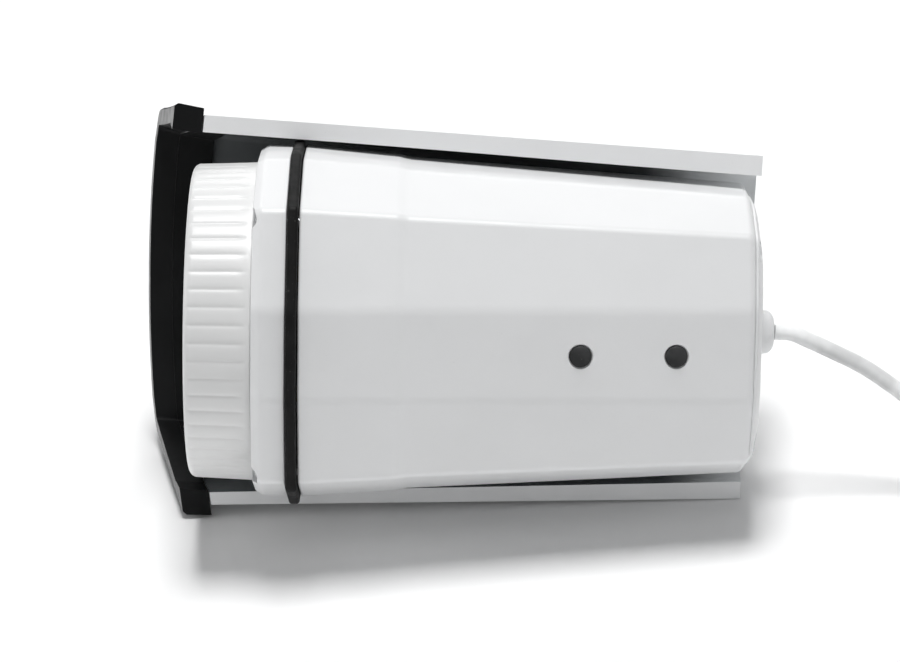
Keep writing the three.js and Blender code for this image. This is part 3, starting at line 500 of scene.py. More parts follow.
def facet_ring(x, half, corner_radius=3.2, upper=1.02):
    """The twelve-sided body section at x, with softened edges. upper widens the half that lies on top."""
    corner = FLAT_HALF + (half - FLAT_HALF) * CORNER_SHARE
    side = [(half, FLAT_HALF), (corner, corner), (FLAT_HALF, half)]
    outline, radii = [], []
    for _ in range(4):
        outline += side
        radii += [FLAT_EDGE_RADIUS, corner_radius, FLAT_EDGE_RADIUS]
        side = [(-z, y) for y, z in side]
    return [(x, y, z * upper if z > 0 else z) for y, z in rounded(outline, radii)]


def faceted(stations, wrap=False, **softness):
    return loft([facet_ring(x, half, **softness) for x, half in stations], wrap)


def four_corners(offset):
    return [(offset, offset), (-offset, offset), (-offset, -offset), (offset, -offset)]


def at_corners(offset, shape):
    return [shifted(shape, 0, y, z) for y, z in four_corners(offset)]


def stood(y, z, turn):
    """A turn about x, then a move to (y, z)."""
    return Matrix.Translation((0, y, z)) @ Matrix.Rotation(turn, 4, "X")


def threaded(x0, x1, radius, pitch, depth, segments=96):
    """A rod with a helical thread cut into it."""
    steps = max(2, round((x1 - x0) / pitch * 6))
    rings = []
    for i in range(steps + 1):
        x = x0 + (x1 - x0) * i / steps
        ring = []
        for j in range(segments):
            angle = 2 * pi * j / segments
            share = (x / pitch - j / segments) % 1
            r = radius - depth * abs(2 * share - 1) * min(1, (x - x0) / pitch + 0.3, (x1 - x) / pitch + 0.3)
            ring.append((x, r * cos(angle), r * sin(angle)))
        rings.append(ring)
    return loft(rings)


# ---- pieces
def new_object(name, shape):
    mesh = bpy.data.meshes.new(name)
    mesh.from_pydata(shape[0], [], shape[1])
    faces = bmesh.new()
    faces.from_mesh(mesh)
    bmesh.ops.recalc_face_normals(faces, faces=faces.faces)
    faces.to_mesh(mesh)
    faces.free()
    return add_object(name, mesh)


def bake_modifiers(target):
    depsgraph = bpy.context.evaluated_depsgraph_get()
    baked = bpy.data.meshes.new_from_object(target.evaluated_get(depsgraph))
    baked.name = target.name
    target.modifiers.clear()
    target.data = baked


def combine(target, operation, shapes):
    """Cuts shapes out of target, or joins them to it, one after the other."""
    for shape in shapes:
        tool = new_object("tool", shape)
        modifier = target.modifiers.new(operation, "BOOLEAN")
        modifier.operation = operation
        modifier.solver = "EXACT"
        modifier.object = tool
        bake_modifiers(target)
        bpy.data.objects.remove(tool)


def bevel(target, width, angle, segments):
    modifier = target.modifiers.new("soft_edges", "BEVEL")
    modifier.width = width
    modifier.segments = segments
    modifier.limit_method = "ANGLE"
    modifier.angle_limit = radians(angle)


def soften(target, width, angle=40, segments=3):
    bevel(target, width, angle, segments)
    bake_modifiers(target)


def settle(made, finish, stands_for=None, body="camera_body", place=BODY, slot=None, crease=32):
    """Puts a piece made in mm into the row frame, gives it its finish and lets it ride on its body."""
    mesh = made.data
    mesh.transform(place)
    if not mesh.materials:
        mesh.materials.append(FINISHES[finish])
    mesh.polygons.foreach_set("use_smooth", [True] * len(mesh.polygons))
    mesh.set_sharp_from_angle(angle=radians(crease))
    modifier = made.modifiers.new("flat_faces", "WEIGHTED_NORMAL")
    modifier.keep_sharp = True
    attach(made, body)
    if stands_for:
        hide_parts(stands_for)
    return made


def piece(name, shape, *settings, **options):
    return settle(new_object(name, shape), *settings, **options)


# ---- the free cable
# From the gland the cable bends down to the surface, then winds into a coil. Millimetres, in the row frame.
CABLE_RUN = [
    (91.35, -14.26, 48.49), (96, -14.3, 47.8), (101, -14.6, 45.3), (108, -15.6, 41.6), (115, -17.1, 37.9),
    (123, -19.2, 32.3), (131, -21.6, 26), (139, -24, 19.6), (147, -26.3, 13.4), (154, -28, 8.4),
    (161, -29.3, 4.6), (168, -30.1, 2.7), (174, -30.4, 2.25),
]
CABLE_TAIL = [(202.7, 8, 6.4), (202.7, 16.5, 6.7), (202.9, 22, 7.2), (203, 30, 7.6)]
CABLE_REST_Z = CABLE_DIAMETER / 2 + 0.05
COIL_CENTRE = (178, -3.6)
COIL_RADIUS = 24.5
COIL_SPREAD = CABLE_DIAMETER * 0.51
COIL_START = -90
COIL_TURNS = 2.25
COIL_STEP = 15
CONNECTOR_X = 203
CONNECTOR_Z = 7.6
CONNECTOR_START_Y = 30.3
BOOT_LENGTH = 13.5
ARC_PER_CHORD = 1.003


def smooth(value, low, high):
    share = min(1, max(0, (value - low) / (high - low)))
    return share * share * (3 - 2 * share)


def coil_section(wound):
    """(radius, height) of the cable's centre after so many degrees: outer turn, inner turn, top turn."""
    outer, inner = COIL_RADIUS + COIL_SPREAD, COIL_RADIUS - COIL_SPREAD
    if wound < 560:
        return outer + (inner - outer) * smooth(wound, 275, 345), CABLE_REST_Z
    lift = radians(180 - 60 * smooth(wound, 560, 625))
    reach = 2 * COIL_SPREAD
    hump = 0.7 * (smooth(wound, 625, 665) - smooth(wound, 690, 735))
    return outer + reach * cos(lift), CABLE_REST_Z + reach * sin(lift) + hump


def coil_point(wound):
    radius, height = coil_section(wound)
    angle = radians(COIL_START + wound)
    return (COIL_CENTRE[0] + radius * cos(angle), COIL_CENTRE[1] + radius * sin(angle), height)


def add_cable():
    count = round(COIL_TURNS * 360 / COIL_STEP)
    route = CABLE_RUN + [coil_point(i * COIL_STEP) for i in range(count + 1)] + CABLE_TAIL
    curve = bpy.data.curves.new("cable", "CURVE")
    curve.dimensions = "3D"
    curve.bevel_depth = CABLE_DIAMETER / 2 * MM
    curve.bevel_resolution = 6
    curve.resolution_u = 6
    curve.use_fill_caps = True
    spline = curve.splines.new("BEZIER")
    spline.bezier_points.add(len(route) - 1)
    for point, place in zip(spline.bezier_points, route):
        point.co = Vector(place) * MM
        point.handle_left_type = point.handle_right_type = "AUTO"
    cable = add_object("cable", curve)
    curve.materials.append(FINISHES["cable_sheath"])
    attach(cable, "camera_body")
    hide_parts("cable_run", "cable_coil", "cable_tail")
    knots = [point.co.copy() for point in spline.bezier_points]
    length = sum((b - a).length for a, b in zip(knots, knots[1:])) * ARC_PER_CHORD
    return cable, length


def hull(points):
    """The convex outline round points in a plane, counter-clockwise."""
    def bends_in(a, b, c):
        return (b[0] - a[0]) * (c[1] - a[1]) <= (b[1] - a[1]) * (c[0] - a[0])

    def half(ordered):
        chain = []
        for point in ordered:
            while len(chain) > 1 and bends_in(*chain[-2:], point):
                chain.pop()
            chain.append(point)
        return chain[:-1]

    ordered = sorted(points)
    return half(ordered) + half(ordered[::-1])


def add_coil_tie(name, bearing):
    """A flat strap round the turns of the coil at a bearing, with its small buckle on the outside."""
    wound = [bearing - COIL_START + 360 * turn for turn in range(4)]
    centres = [coil_section(w) for w in wound if 0 <= w <= COIL_TURNS * 360]
    around = circle(0, CABLE_DIAMETER / 2 + 0.15, 24)
    outline = hull([(r + dr, z + dz) for r, z in centres for _, dr, dz in around])
    inner = [(r, max(z, 0.95)) for r, z in outline]
    middle = (sum(r for r, _ in inner) / len(inner), sum(z for _, z in inner) / len(inner))
    thick, half = 0.8, 1.7
    outer = []
    for r, z in inner:
        away = Vector((r - middle[0], z - middle[1])).normalized() * thick
        outer.append((r + away.x, max(z + away.y, 0.1)))
    edges = ((-half, inner), (-half, outer), (half, outer), (half, inner))
    tie = new_object(name, loft([[(x, r, z) for r, z in edge] for x, edge in edges], True))
    outside = max(r for r, _ in outer)
    combine(tie, "UNION", [block(-2.6, 2.6, outside - 0.9, outside + 1.7, 0.5, 4.6)])
    angle = radians(bearing)
    out, up = Vector((cos(angle), sin(angle), 0)), Vector((0, 0, 1))
    turn = Matrix((out.cross(up), out, up)).transposed().to_4x4()
    place = ROW @ Matrix.Translation((*COIL_CENTRE, 0)) @ turn
    soften(tie, 0.22)
    return settle(tie, "black_plastic", place=place)


def add_connector_boot():
    rib = ((0, 0), (0.3, 0.25), (1.0, 0.3), (1.25, -0.35), (1.6, -0.3))
    collar = ((3, 4.6), (2.9, 5.4), (2.5, 5.6), (0.3, 5.6), (0, 5.3), (0, 2.3))
    profile = [(0, 2.3), (0, 2.9)]
    for i in range(5):
        x, size = 0.9 + i * 1.9, 2.95 + 0.33 * i
        profile += [(x + step, size + out) for step, out in rib]
    profile += [(BOOT_LENGTH - before, radius) for before, radius in collar]
    start = Matrix.Translation((CONNECTOR_X, CONNECTOR_START_Y, CONNECTOR_Z))
    shape = moved(turned(profile, 64, True), start @ ONTO_Y)
    return piece("connector_boot_ribbed", shape, "black_rubber", "connector_boot", place=ROW)


def add_network_connector():
    """An in-line network socket with grip ridges on its sides and eight gold contacts inside."""
    wide, high, length = 8, 7.5, 30  # half the width, half the height
    start = CONNECTOR_START_Y + BOOT_LENGTH + 0.3
    end = start + length
    outline = rounded([(-wide, -high), (wide, -high), (wide, high), (-wide, high)], [2] * 4)[::-1]
    rings = []
    ends = ((1.2, 0), (0.35, 0.35), (0, 1.2), (0, length - 0.8), (0.25, length - 0.2), (0.8, length))
    for inset, y in ends:
        rings.append([(u * (1 - inset / wide), start + y, v * (1 - inset / high)) for u, v in outline])
    body = new_object("network_socket", shifted(loft(rings), CONNECTOR_X, 0, CONNECTOR_Z))

    def opening(x, half_x, y0, y1, z0, z1):
        x += CONNECTOR_X
        return block(x - half_x, x + half_x, y0, y1, CONNECTOR_Z + z0, CONNECTOR_Z + z1)

    cavity = opening(0, 6, end - 14, end + 1, -4.3, 3.4)
    latch = opening(0, 3, end - 10, end + 1, 2, 5.4)
    grips = [
        opening(side * wide, 0.45, start + 5 + i * 2, start + 6 + i * 2, -4.5, 4.5)
        for side in (-1, 1)
        for i in range(6)
    ]
    combine(body, "DIFFERENCE", [cavity, latch, *grips])
    soften(body, 0.18, 50, 2)
    socket = settle(body, "black_plastic", "network_connector", place=ROW)
    wire = [(end - 12.5, CONNECTOR_Z - 4.2), (end - 3.5, CONNECTOR_Z - 4.0), (end - 12.4, CONNECTOR_Z - 1.6)]
    section = ((-0.2, 0), (0.2, 0), (0.2, 0.35), (-0.2, 0.35))
    strips = []
    for i in range(8):
        x = CONNECTOR_X - 3.57 + i * 1.02
        strips.append(loft([[(x + dx, y, z + dz) for dx, dz in section] for y, z in wire]))
    return socket, piece("socket_contacts", joined(strips), "brass", place=ROW)


add_camera()
cable, cable_length = add_cable()
ties = [add_coil_tie("coil_tie_1", 150), add_coil_tie("coil_tie_2", -45)]
boot = add_connector_boot()
socket, contacts = add_network_connector()


# ---- housing
AFTER_STEP_HALF = HOUSING_STEP_HALF - HOUSING_STEP_DEPTH
HOUSING_TAPER = atan2(AFTER_STEP_HALF - HOUSING_REAR_HALF, HOUSING_REAR_X - HOUSING_STEP_X)


def rear_half(x):
    share = (x - HOUSING_STEP_X) / (HOUSING_REAR_X - HOUSING_STEP_X)
    return AFTER_STEP_HALF + share * (HOUSING_REAR_HALF - HOUSING_STEP_HALF + HOUSING_STEP_DEPTH)


def onto_bottom_facet(shape, x):
    """Stands a shape made along x square to the bottom facet, its +x pointing into the housing."""
    lean = Matrix.Rotation(HOUSING_TAPER, 4, "Z")
    return moved(shape, Matrix.Translation((x, -rear_half(x), 0)) @ lean @ ONTO_Y)


def under_shield(shape, x):
    """Stands a shape made along x on the shield's side of the housing, its +x pointing at the shield."""
    lean = Matrix.Rotation(-HOUSING_TAPER, 4, "Z")
    return moved(shape, lean @ Matrix.Translation((x, 0, 0)) @ ONTO_Y)


def add_housing():
    front = rounded_end(0, HOUSING_FRONT_HALF, 0.7, -1)
    edge = ((-1.6, 0.12), (-0.7, -0.02), (0.2, -0.28))
    step = [(HOUSING_STEP_X + x, HOUSING_STEP_HALF + out) for x, out in edge]
    foot = HOUSING_STEP_X + 2.1
    step += [(HOUSING_STEP_X + 1.1, AFTER_STEP_HALF + 0.02), (foot, rear_half(foot))]
    rear = rounded_end(HOUSING_REAR_X, rear_half(HOUSING_REAR_X), 2.2, 1, 6)[::-1]
    inner = [(HOUSING_REAR_X, HOUSING_REAR_HALF - 3), (HOUSING_STEP_X, HOUSING_STEP_HALF - 3)]
    inner.append((0, HOUSING_FRONT_HALF - HOUSING_WALL))
    shell = new_object("housing_shell", faceted(front + step + rear + inner, wrap=True))
    bosses = at_corners(COLLAR_SCREW_OFFSET, rod(0.2, 15, 4.4, 24))
    bosses += at_corners(REAR_SCREW_OFFSET, rod(108, 123.8, 4.9, 24))
    bosses = [common_with_solid_housing(shape) for shape in bosses]
    pad = block(MOUNT_HOLE_X[0] - 9, MOUNT_HOLE_X[1] + 9, -39.4, -31, -9, 9)
    pillar = turned([(40, 6.5), (SHIELD_TOP - 2.7, 6.5), (SHIELD_TOP - 2.3, 6.1)], 48)
    combine(shell, "UNION", [*bosses, pad, *(under_shield(pillar, x) for x in SHIELD_BOLT_X)])
    holes = at_corners(COLLAR_SCREW_OFFSET, rod(-1, 13, SCREW_HOLE_RADIUS, 16))
    holes += at_corners(REAR_SCREW_OFFSET, rod(112, 125, SCREW_HOLE_RADIUS, 16))
    holes += [under_shield(rod(43.5, 54, 2.25, 24), x) for x in SHIELD_BOLT_X]
    mouth = turned([(-1, 3.7), (0, 3.62), (0.16, 3.4), (0.6, 3.15), (0.9, 3.0), (0.9, 2.0)], 48)
    thread = threaded(0.5, MOUNT_HOLE_DEPTH, MOUNT_HOLE_RADIUS, 1.27, 0.5, 48)
    holes += [onto_bottom_facet(shape, x) for x in MOUNT_HOLE_X for shape in (mouth, thread)]
    combine(shell, "DIFFERENCE", holes)
    settle(shell, "housing_paint", "main_housing")


def common_with_solid_housing(shape):
    """Keeps what of a boss lies inside the housing's outer faces."""
    boss = new_object("boss", shape)
    solid = faceted([(0.1, HOUSING_FRONT_HALF - 1), (HOUSING_STEP_X, HOUSING_STEP_HALF - 1.5),
                     (HOUSING_REAR_X - 0.1, HOUSING_REAR_HALF - 1.6)])
    combine(boss, "INTERSECT", [solid])
    points = [tuple(v.co) for v in boss.data.vertices]
    faces = [tuple(p.vertices) for p in boss.data.polygons]
    bpy.data.objects.remove(boss)
    return points, faces


def add_hole_plugs():
    """Domed rubber plugs in the two bracket holes."""
    profile = [(0.35 - 1.05 * c, PLUG_RADIUS * s) for c, s in quarter(10)]
    profile += [(0.9, PLUG_RADIUS), (1.1, 2.85), (1.3, 2.5), (5.4, 2.4), (6.2, 2.0), (6.6, 1.3)]
    for i, x in enumerate(MOUNT_HOLE_X, 1):
        shape = onto_bottom_facet(turned(profile, 48), x)
        piece(f"domed_plug_{i}", shape, "plug_rubber", f"bracket_hole_plug_{i}", slot="black_rubber")


# ---- collar, gasket, ring and window
def add_collar():
    edge = ((0, 1.6), (0.2, 1.3), (1.7, 0.35), (2.2, 0.08), (2.8, 0))
    stations = [(COLLAR_FRONT_X + back, HOUSING_FRONT_HALF - inset) for back, inset in edge]
    stations += rounded_end(COLLAR_REAR_X, HOUSING_FRONT_HALF, 0.4, 1, 3)[::-1]
    collar = new_object("collar_body", faceted(stations))
    neck = threaded(NECK_FRONT_X, COLLAR_FRONT_X + 0.6, NECK_RADIUS, 1.5, 0.55, 112)
    combine(collar, "UNION", [neck])
    bore = rod(NECK_FRONT_X - 1, 1, NECK_BORE, 112)
    recesses = at_corners(COLLAR_SCREW_OFFSET, rod(COLLAR_FRONT_X - 1, COLLAR_FRONT_X + 3.4, 3.9, 40))
    holes = at_corners(COLLAR_SCREW_OFFSET, rod(-14, 1, SCREW_HOLE_RADIUS, 20))
    combine(collar, "DIFFERENCE", [bore, *recesses, *holes])
    settle(collar, "housing_paint", "front_collar")


def add_gasket():
    """The rubber lip between collar and housing; it bulges a little unevenly where it is squeezed."""
    outer = rounded_end(GASKET_FRONT_X, GASKET_HALF, 0.9, -1, 4)
    outer += rounded_end(GASKET_REAR_X, GASKET_HALF, 0.9, 1, 4)[::-1]
    inner = [(GASKET_REAR_X, 42), (GASKET_FRONT_X, 42)]
    points, faces = faceted(outer + inner, wrap=True, corner_radius=2.2, upper=1)
    wavy = []
    for x, y, z in points:
        out = smooth(max(abs(y), abs(z)), 47.2, 49.4)
        sway = 0.2 * sin(y / 5.1 + 0.8) * cos(z / 9.3 + 0.4)
        wavy.append((x + sway * out, y, z))
    piece("gasket_lip", (wavy, faces), "black_rubber", "collar_gasket")


def groove_depth(share):
    """How deep the ring's rib pattern is at a share of one rib, 0 and 1 being the middle of a groove."""
    away = min(share, 1 - share)
    return 0.2 * (1 - smooth(away, 0, 0.22)) + 0.1 * (1 - 2 * away) ** 2


def add_front_ring():
    """The screw ring: shallow ribs for the fingers, a plain band behind them and a soft front edge."""
    front = rounded_end(RING_FRONT_X, RING_FRONT_RADIUS, 2.1, -1, 7)
    mouth = ((1.2, 0), (0.3, 0.4), (0, 1.2))
    profile = [(RING_FRONT_X + x, RING_WINDOW + out) for x, out in mouth] + front
    ribs_start, ribs_end = RING_FRONT_X + 1.4, RING_REAR_X - 2.3
    start = front[-1][0]
    for i in range(1, 13):
        x = start + (RING_REAR_X - 0.5 - start) * i / 12
        profile.append((x, RING_FRONT_RADIUS + (RING_REAR_RADIUS - RING_FRONT_RADIUS) * i / 12))
    profile += [(RING_REAR_X - 0.12, RING_REAR_RADIUS - 0.15), (RING_REAR_X, RING_REAR_RADIUS - 0.5)]
    profile += [(RING_REAR_X, RING_BORE + 0.3), (RING_REAR_X - 0.3, RING_BORE)]
    profile += [(RING_FRONT_X + 2.4, RING_BORE), (RING_FRONT_X + 2.4, RING_WINDOW)]
    samples = (-0.14, -0.09, -0.045, 0, 0.045, 0.09, 0.14, 0.25, 0.38, 0.5, 0.62, 0.75)
    rings = []
    for x, radius in profile:
        deep = smooth(x, ribs_start - 0.9, ribs_start + 0.5) * (1 - smooth(x, ribs_end - 0.4, ribs_end + 0.3))
        outside = radius > RING_BORE + 0.6
        ring = []
        for i in range(RING_GROOVES):
            for sample in samples:
                angle = 2 * pi * (i + 0.5 + sample) / RING_GROOVES
                r = radius - (groove_depth(sample % 1) * deep if outside else 0)
                ring.append((x, r * cos(angle), r * sin(angle)))
        rings.append(ring)
    piece("screw_ring", loft(rings, True), "ring_plastic", "front_ring", "front_ring", crease=50)


def add_window():
    profile = [(GLASS_FRONT_X, 0), (GLASS_FRONT_X, GLASS_RADIUS - 0.5), (GLASS_FRONT_X + 0.5, GLASS_RADIUS)]
    profile += [(GLASS_REAR_X, GLASS_RADIUS), (GLASS_REAR_X, 0)]
    piece("window_pane", turned(profile, 128), "window_glass", "window_glass", "window")
    front, rear = GLASS_REAR_X + 0.3, NECK_FRONT_X - 0.3
    seal = turned([(front, 38.2), (front, 41), (rear, 41), (rear, 38.2)], 128, True)
    piece("window_seal", seal, "black_rubber", "window_gasket", "window")


def cross_recess(head_x, size, depth, inward):
    """The two arms of a cross recess, narrower at their bottom, open at head_x."""
    mouth = (head_x - inward * 0.6, size * 0.5 * 1.1, 0.5)
    floor = (head_x + inward * depth, size * 0.3, 0.3)
    rings = []
    for x, reach, half in (mouth, floor):
        ring = [(x, -half, -reach), (x, half, -reach), (x, half, reach), (x, -half, reach)]
        rings.append(ring if inward > 0 else ring[::-1])
    return [moved(loft(rings), Matrix.Rotation(radians(turn), 4, "X")) for turn in (20, 110)]


def pan_head_screw(name, head_x, head_length, head_radius, shank_end, shank_radius, inward=1, flange=None):
    """A screw whose head starts at head_x; inward, -1 or 1, is the way its shank runs along x."""
    profile = [(head_x + inward * head_length * 0.8 * (1 - c), head_radius * s) for c, s in quarter(7)]
    base = head_x + inward * head_length
    profile.append((base, head_radius))
    if flange:
        profile += [(base, flange - 0.3), (base + inward * 0.2, flange), (base + inward * 0.9, flange)]
        base += inward * 0.9
    profile += [(base, shank_radius), (shank_end, shank_radius), (shank_end, 0)]
    if inward < 0:
        profile = profile[::-1]
    made = new_object(name, turned(profile, 40))
    combine(made, "DIFFERENCE", cross_recess(head_x, head_radius * 1.15, head_length * 0.75, inward))
    return made


def add_screws():
    for i, (y, z) in enumerate(four_corners(COLLAR_SCREW_OFFSET)):
        made = pan_head_screw(f"collar_pan_screw_{i + 1}", COLLAR_FRONT_X + 0.6, 2.4, 2.8, 11, 1.5)
        settle(made, "screw_steel", f"collar_screw_{i + 1}", place=BODY @ stood(y, z, i * 1.1))
    rear = REAR_COVER_REAR_X - 1.8
    for i, (y, z) in enumerate(four_corners(REAR_SCREW_OFFSET)):
        made = pan_head_screw(f"cover_pan_screw_{i + 1}", rear, 1.3, 2.8, rear - 12.5, 1.5, -1)
        settle(made, "screw_steel", f"rear_cover_screw_{i + 1}", place=BODY @ stood(y, z, 0.4 + i * 0.9))
    top = SHIELD_TOP + 0.3 + 3.1
    for i, x in enumerate(SHIELD_BOLT_X, 1):
        made = pan_head_screw(f"flange_screw_{i}", top, 2.2, 3.7, top - 12.8, 1.95, -1, 5.5)
        place = SHIELD @ Matrix.Translation((x, 0, 0)) @ ONTO_Y
        settle(made, "screw_steel", f"shield_screw_{i}", place=place)


# ---- rear cover and gland
def add_rear_cover():
    stations = [(124.02, REAR_COVER_HALF - 0.2), (124.1, REAR_COVER_HALF + 0.1), (124.7, REAR_COVER_HALF)]
    stations += [(125.1, 36), (125.8, 33.5), (126.4, 30), (126.9, 26), (127.3, 21.5), (REAR_COVER_REAR_X, 17)]
    cover = new_object("rear_cover_plate", faceted(stations))
    recesses = at_corners(REAR_SCREW_OFFSET, rod(REAR_COVER_REAR_X - 3.1, REAR_COVER_REAR_X + 1, 3.1, 40))
    holes = at_corners(REAR_SCREW_OFFSET, rod(120, 130, SCREW_HOLE_RADIUS, 20))
    combine(cover, "DIFFERENCE", [*recesses, *holes, shifted(rod(120, 130, 4.6, 40), 0, GLAND_Y, 0)])
    settle(cover, "housing_paint", "rear_cover")


def add_gland():
    """The domed strain relief that the cable leaves through."""
    base = REAR_COVER_REAR_X + 0.3
    bore = CABLE_DIAMETER / 2 + 0.12
    tip = GLAND_TIP_X
    dome = [(tip - 2.6 + 2.6 * s, GLAND_RADIUS - 3.4 + 3.1 * c) for c, s in quarter(9)]
    profile = [(119, bore), (119, 4.3), (base, 4.3), (base, GLAND_RADIUS), (base + 0.5, GLAND_RADIUS - 0.05)]
    profile += [*dome, (tip - 0.1, bore + 0.3), (tip - 0.5, bore)]
    shape = shifted(turned(profile, 72, True), 0, GLAND_Y, 0)
    piece("gland_dome", shape, "housing_paint", "cable_gland")


# ---- sunshield
CORNER_Y = SHIELD_TOP - SHIELD_CORNER_RADIUS
CORNER_Z = (SHIELD_LIP_HALF - SHIELD_CORNER_RADIUS * cos(SHIELD_LEAN)
            - (CORNER_Y + SHIELD_CORNER_RADIUS * sin(SHIELD_LEAN) - SHIELD_LIP_Y) * tan(SHIELD_LEAN))


def wall_z(y, offset):
    radius = SHIELD_CORNER_RADIUS + offset
    rise = CORNER_Y + radius * sin(SHIELD_LEAN) - y
    return CORNER_Z + radius * cos(SHIELD_LEAN) + rise * tan(SHIELD_LEAN)


def half_section(offset, heights, lip_z=None):
    """From one lip over the bend to the middle, as (y, z) moved out by offset.

    heights are those of the lip and the start of the wall; lip_z thickens the sheet at the first two.
    """
    radius = SHIELD_CORNER_RADIUS + offset
    points = [(y, wall_z(y, offset)) for y in heights]
    if lip_z is not None:
        points[:2] = [(y, lip_z) for y in heights[:2]]
    for k in range(5):
        y = heights[-1] + (CORNER_Y - heights[-1]) * (k + 1) / 6
        points.append((y, wall_z(y, offset)))
    for k in range(13):
        angle = SHIELD_LEAN + (pi / 2 - SHIELD_LEAN) * k / 12
        points.append((CORNER_Y + radius * sin(angle), CORNER_Z + radius * cos(angle)))
    points += [(CORNER_Y + radius, CORNER_Z * (1 - k / 7)) for k in range(1, 7)]
    return points


def both_halves(half):
    return half + [(half[-1][0], 0)] + [(y, -z) for y, z in reversed(half)]


def visor_lead(y, z):
    return (y - SHIELD_LIP_Y) * SHIELD_SLANT + SHIELD_BOW * (1 - (z / SHIELD_LIP_HALF) ** 2)


def narrowed(x, z):
    inset = SHIELD_NARROWING * (x - SHIELD_FRONT_X)
    if abs(z) < CORNER_Z:
        return z * (1 - inset / CORNER_Z)
    return z - copysign(inset, z)


def share_along(x):
    return (x - SHIELD_FRONT_X) / (SHIELD_REAR_X - SHIELD_FRONT_X)


def skew(x, y):
    """How much further forward the upper side wall stands than the lower one, per mm across."""
    along = min(1, max(0, share_along(x)))
    up = (y - SHIELD_LIP_Y) / (SHIELD_TOP - SHIELD_LIP_Y)
    return 0.02 - 0.05 * along - 0.03 * up * (1 - along)


def bent_strip(stations, raised=0):
    """A bent sheet through stations of (x, share, outer half, inner half).

    share is how far it follows the visor's slanted and bowed front edge.
    raised lifts the lower wall's front end off the surface, all but the inside of its lip, and gives the
    upper lip a slightly deeper rear end.
    """
    rings = []
    for x, share, outer, inner in stations:
        ring = []
        for y, z in both_halves(outer) + both_halves(inner)[::-1]:
            along = share_along(x)
            lip_inside = y < SHIELD_LIP_Y + 6 and abs(z) < SHIELD_LIP_HALF - SHIELD_LIP_THICK + 0.1
            if z < 0 and not lip_inside:
                z += raised * (1 - along) * smooth(-z, 20, 45)
            elif z > 0 and lip_inside and raised:
                z -= 0.8 * smooth(along, 0.2, 1)
            shifted_x = x - visor_lead(y, z) * share - z * skew(x, y)
            lift = 0.1 * max(0, SHIELD_FRONT_X - shifted_x)
            if z > 0:
                lift *= 1 + 1.2 * (y - SHIELD_LIP_Y) / (SHIELD_TOP - SHIELD_LIP_Y)
            ring.append((shifted_x, y, narrowed(shifted_x, z) + lift))
        rings.append(ring)
    points, faces = loft(rings)
    faces = faces[:-2]
    count = len(rings[0])
    last = len(points) - count
    for j in range(count // 2 - 1):
        a, b, c, d = j, j + 1, count - 2 - j, count - 1 - j
        faces.append((d, c, b, a))
        faces.append((last + a, last + b, last + c, last + d))
    return points, faces


def two_finishes(made, finish, other, takes_other):
    made.data.materials.append(FINISHES[finish])
    made.data.materials.append(FINISHES[other])
    for face in made.data.polygons:
        if takes_other(face):
            face.material_index = 1


def add_shield_panel():
    heights = [SHIELD_LIP_Y + rise for rise in (0, 5, 8.5)]
    outer = half_section(0, heights)
    inner = half_section(-SHIELD_SHEET, heights, SHIELD_LIP_HALF - SHIELD_LIP_THICK)
    length = SHIELD_REAR_X + 0.9 - SHIELD_FRONT_X
    shares = [k / 8 for k in range(9)]
    stations = [(SHIELD_FRONT_X + length * share, 1 - share, outer, inner) for share in shares]
    panel = new_object("shield_sheet", bent_strip(stations, SHIELD_RAISED))
    slots = []
    for x in SHIELD_BOLT_X:
        outline = []
        for end, start in ((x - SHIELD_TRAVEL[1], pi / 2), (x - SHIELD_TRAVEL[0], -pi / 2)):
            angles = [start + pi * k / 24 for k in range(25)]
            outline += [(end + SLOT_RADIUS * cos(angle), SLOT_RADIUS * sin(angle)) for angle in angles]
        slots.append(loft([[(u, y, v) for u, v in outline[::-1]] for y in (48, 58)]))
    combine(panel, "DIFFERENCE", slots)
    soften(panel, 0.45, 48)

    def is_inner(face):
        y, z = face.center.yz
        facing_in = face.normal.z * z < -0.2 * abs(z) or face.normal.y < -0.3
        return facing_in and SHIELD_LIP_Y + 1 < y < SHIELD_TOP - SHIELD_SHEET + 0.35

    # faces inside the shield get the painted shade finish
    two_finishes(panel, "shield_paint", "shield_inner", is_inner)
    settle(panel, "shield_paint", "shield_panel", "sunshield", SHIELD)


def add_shield_bezel():
    """The black visor trim: a thick band that flares towards its front edge, with a flange inside."""
    inner_offset = -SHIELD_SHEET - 1.9
    heights = [SHIELD_LIP_Y + rise for rise in (0, 7, 7.5)]
    front = BEZEL_REAR_X - BEZEL_LENGTH
    stations = []
    for share, bevel in ((0, 0.9), (0.12, 0), (1, 0)):
        proud = BEZEL_PROUD + 0.1 - 1.05 * share - bevel
        lip_z = wall_z(SHIELD_LIP_Y, 0) - 4.65 - 0.6 * share
        inner = half_section(inner_offset + 1.5 * (1 - share), heights, lip_z)
        stations.append((front + BEZEL_LENGTH * share, 1, half_section(proud, heights), inner))
    bezel = new_object("visor_trim", bent_strip(stations))
    heights = [SHIELD_LIP_Y + rise for rise in (10.5, 11, 11.5)]
    outer = half_section(-SHIELD_SHEET - 0.3, heights)
    inner = half_section(inner_offset + 0.02, heights)
    ends = (BEZEL_REAR_X - 2, BEZEL_REAR_X + BEZEL_FLANGE_LENGTH)
    combine(bezel, "UNION", [bent_strip([(x, 1, outer, inner) for x in ends], SHIELD_RAISED)])
    soften(bezel, 0.35, 25)
    # forward-facing faces take the lit copy of the black plastic, as painted light on the visor's front
    two_finishes(bezel, "black_plastic", "visor_edge", lambda face: face.normal.x < -0.75)
    settle(bezel, "black_plastic", "shield_bezel", "sunshield", SHIELD)


